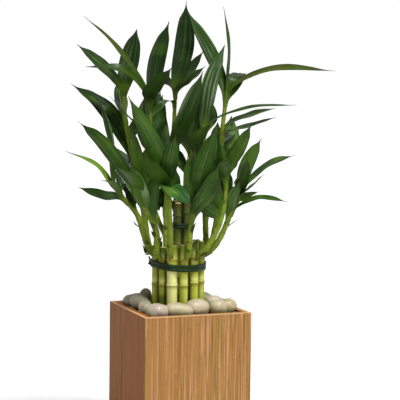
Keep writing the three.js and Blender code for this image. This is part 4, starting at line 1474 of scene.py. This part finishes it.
def woodFinish(colours, boards):
    wood = Finish("laminatedBamboo", {"Specular IOR Level": 0.06})
    place = wood.place()
    x, y, z = place.parts()
    strip = wood.value("strip")
    other = (strip * 7.31).fraction()  # a second number of the strip's own
    fibres = wood.noise(place * (1500, 1500, 14), 4.0, 0.6)
    bands = wood.noise(place * (420, 420, 6), 3.0)
    lines = wood.noise(place * (820, 820, 9), 1.5)
    pale = wood.noise(place * (740, 740, 8) + (7, 3, 0), 1.5)
    flecks = wood.noise(place * (900, 900, 120), 3.0)
    worn = wood.noise(place * 160.0, 2.0)

    # boards that differ a little, the seams between them, and the joints of the bamboo
    across = (x + y) / boards["width"]
    settings = {"noise_dimensions": "1D"}
    board = wood.node("ShaderNodeTexWhiteNoise", settings, {"W": across.whole()})
    seam = abs(across.fraction() - 0.5).rise(0.478, 0.495)
    rise = z / boards["joint"] + other * 5.0 + worn * 0.3
    scar = (rise.fraction() - 0.5).bell(0.012) * bands.rise(0.5, 0.65)
    shadow = ((rise + 0.03).fraction() - 0.5).bell(0.012)
    colour = wood.layers(
        wood.mix(strip.rise(0.15, 0.5), colours["brown"], colours["mid"]),
        (strip.rise(0.5, 0.95) * 0.75, colours["light"]),
        (other.rise(0.55, 0.9) * 0.7, colours["pink"]),
        (fibres.rise(0.5, 0.8) * 0.35, colours["fibre"]),
        (lines.rise(0.54, 0.6) * 0.8, colours["fibre"]),  # thin dark lines
        (pale.rise(0.55, 0.62) * 0.85, colours["line"]),  # thin pale lines
        (bands.rise(0.45, 0.75) * 0.3, colours["light"]),
        (flecks.rise(0.56, 0.7) * bands.rise(0.4, 0.6) * 0.5, colours["fibre"]),
        (board.rise(0.1, 0.9) * boards["contrast"], colours["pink"]),
        (seam * 0.45, colours["node"]),  # between two boards
        (scar * 0.3, colours["rim"]),  # a joint of the bamboo
        (shadow * 0.25, colours["node"]),  # the shade under it
    )
    # painted shade: each wall darkened and reddened by its own amount
    colour = wood.mix(wood.value("warmth"), colour, colours["warm"], "MULTIPLY")
    edge = (z - rim).rise(-0.8 * mm, -0.1 * mm)  # painted highlight along the outer edge of the rim
    outside = (abs(x).atLeast(abs(y)) - planter["sizes"]["Side"] / 2).rise(-3.5 * mm, -1.5 * mm)
    wood.feed("Base Color", wood.mix(edge * outside * 0.75, colour, colours["rim"]))
    wood.feed("Roughness", 0.38 + 0.25 * fibres)
    wood.relief(fibres * 0.6 + bands, 0.25 * mm, 0.45)
    return wood


def panelRecipe(sizes, finish):
    # upright strips side by side, mitred at both ends of the wall, then turned to their side
    recipe = Recipe("laminated wall", sizes)
    size = recipe.size
    side, seed = size("Side"), size("Seed")
    index = recipe.node("GeometryNodeInputIndex")
    floats = {"data_type": "FLOAT"}
    sockets = {2: size("Narrowest"), 3: size("Widest"), "ID": index, "Seed": seed}
    share = recipe.node("FunctionNodeRandomValue", floats, sockets, 1)
    sums = recipe.node("GeometryNodeAccumulateField", floats, {0: share}, "Leading")
    before, total = [Wire(recipe, sums.socket.node.outputs[key]) for key in ("Trailing", "Total")]
    left = before / total * side - side * 0.5
    width = share / total * side
    place = recipe.vector(left + width * 0.5, (size("Wall") - side) * 0.5, size("Height") * 0.5)
    points = recipe.node("GeometryNodeMeshLine", {}, {"Count": size("Strips")})
    points = recipe.move(points, place)
    strip = recipe.node("FunctionNodeRandomValue", floats, {"ID": index, "Seed": seed + 1}, 1)
    points = recipe.store(points, "strip", strip)
    points = recipe.store(points, "warmth", size("Warmth"))
    stretch = recipe.vector(width - size("Seam"), size("Wall"), size("Height"))
    walls = recipe.instances(points, recipe.node("GeometryNodeMeshCube"), stretch)
    x, y, z = recipe.place().parts()
    limit = side * 0.5 - (y + side * 0.5)
    walls = recipe.move(walls, recipe.vector(x.atMost(limit).atLeast(-limit), y, z))
    sockets = {"Geometry": walls, "Distance": size("Merge")}
    walls = recipe.node("GeometryNodeMergeByDistance", {}, sockets)
    turned = recipe.vector(0.0, 0.0, size("Turn"))
    turn = recipe.node("FunctionNodeEulerToRotation", {}, {0: turned})
    walls = recipe.node("GeometryNodeTransform", {}, {"Geometry": walls, "Rotation": turn})
    recipe.end(walls, finish, smooth=False)
    return recipe


def buildPlanter():
    wood = woodFinish(planter["colours"], planter["boards"])
    recipe = panelRecipe(planter["sizes"], wood)
    for i, (side, own) in enumerate(planter["walls"].items()):
        recipe.sizes.update(own, Turn=i * math.pi / 2)
        panel = recipe.run(f"planter_wall_{side}_strips", bpy.data.meshes.new("wallPlace"))
        bevel = panel.modifiers.new("edges", "BEVEL")
        bevel.width = planter["bevel"]["width"]
        bevel.segments = planter["bevel"]["segments"]
        bevel.limit_method = "ANGLE"
        keep(panel, f"planter_wall_{side}")
    return wood


def coatNode(name, finish):
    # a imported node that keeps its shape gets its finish
    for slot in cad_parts[name].material_slots:
        slot.material = finish.material


def linerFinish():
    liner = Finish("linerPlastic", {"Roughness": 0.55, "Base Color": paint(24, 22, 18)})
    liner.relief(liner.noise(liner.place() * 700.0, 2.0), 0.1 * mm, 0.5)
    return liner


# Stage, light and camera

studio = {
    "floorHalf": 30.0, "floorDrop": 0.2 * mm, "floorColour": (0.48, 0.48, 0.48, 1.0),
    "skyColour": (1.0, 1.0, 1.0, 1.0),
    "horizonLight": 1.0, "domeLight": 0.38, "horizonTop": 0.08, "domeStart": 0.25,
    "lights": [
        {"name": "key", "bearing": 20, "height": 61, "spread": 18, "power": 6.0},
        {"name": "front", "bearing": 10, "height": 20, "spread": 50, "power": 1.0},
        {"name": "rear", "bearing": 200, "height": 40, "spread": 60, "power": 0.6},
    ],
}
view = {
    "azimuth": -21.574, "elevation": 4.817, "roll": 0.713, "lens": 126, "clipEnd": 20,
    "distance": 1592.92, "aside": -23.763, "upwards": -121.305, "targetHeight": 170,
}


def buildSky():
    # a white sky, brightest near the horizon
    world = bpy.data.worlds.new("studioSky")
    world.use_nodes = True
    scene.world = world
    sky = Graph(world.node_tree)
    height = sky.node("ShaderNodeTexCoord", {}, {}, "Generated").parts()[2]
    fade = height.rise(studio["horizonTop"], studio["domeStart"])
    background = sky.tree.nodes["Background"]
    background.inputs["Color"].default_value = studio["skyColour"]
    sky.link(lerp(studio["horizonLight"], studio["domeLight"], fade), background.inputs["Strength"])


def buildStage():
    mesh = bpy.data.meshes.new("floor")
    mesh.from_pydata(squareCorners(studio["floorHalf"], -studio["floorDrop"]), [], [(0, 1, 2, 3)])
    floorFinish = Finish("studioFloor", {"Roughness": 0.9, "Base Color": studio["floorColour"]})
    mesh.materials.append(floorFinish.material)
    addObject("floor", mesh)
    buildSky()
    for lamp in studio["lights"]:
        light = bpy.data.lights.new(lamp["name"], "SUN")
        light.energy = lamp["power"]
        light.angle = math.radians(lamp["spread"])
        holder = addObject(lamp["name"], light)
        turn = math.radians(lamp["bearing"])
        holder.rotation_euler = (math.radians(90 - lamp["height"]), 0, turn)
    scene.view_settings.view_transform = "Standard"
    print("stage and lights:", len(studio["lights"]))


def buildCamera():
    a = math.radians(view["azimuth"])
    e = math.radians(view["elevation"])
    roll = math.radians(view["roll"])
    back = Vector((math.sin(a) * math.cos(e), -math.cos(a) * math.cos(e), math.sin(e)))
    level = Vector((math.cos(a), math.sin(a), 0))
    upright = back.cross(level)
    right = level * math.cos(roll) + upright * math.sin(roll)
    up = upright * math.cos(roll) - level * math.sin(roll)
    place = Vector((0, 0, view["targetHeight"])) + back * view["distance"]
    place -= right * view["aside"] + up * view["upwards"]
    lens = bpy.data.cameras.new("camera")
    lens.lens = view["lens"]
    lens.clip_end = view["clipEnd"]
    camera = addObject("camera", lens)
    axes = Matrix((right, up, back)).transposed().to_4x4()
    camera.matrix_world = Matrix.Translation(place * mm) @ axes
    scene.camera = camera


buildCamera()
buildStage()
wood = buildPlanter()
coatNode("planter_floor", wood)
coatNode("liner", linerFinish())
print("planter and liner")
buildBed()
buildCanes()
buildTies()
buildShoots()
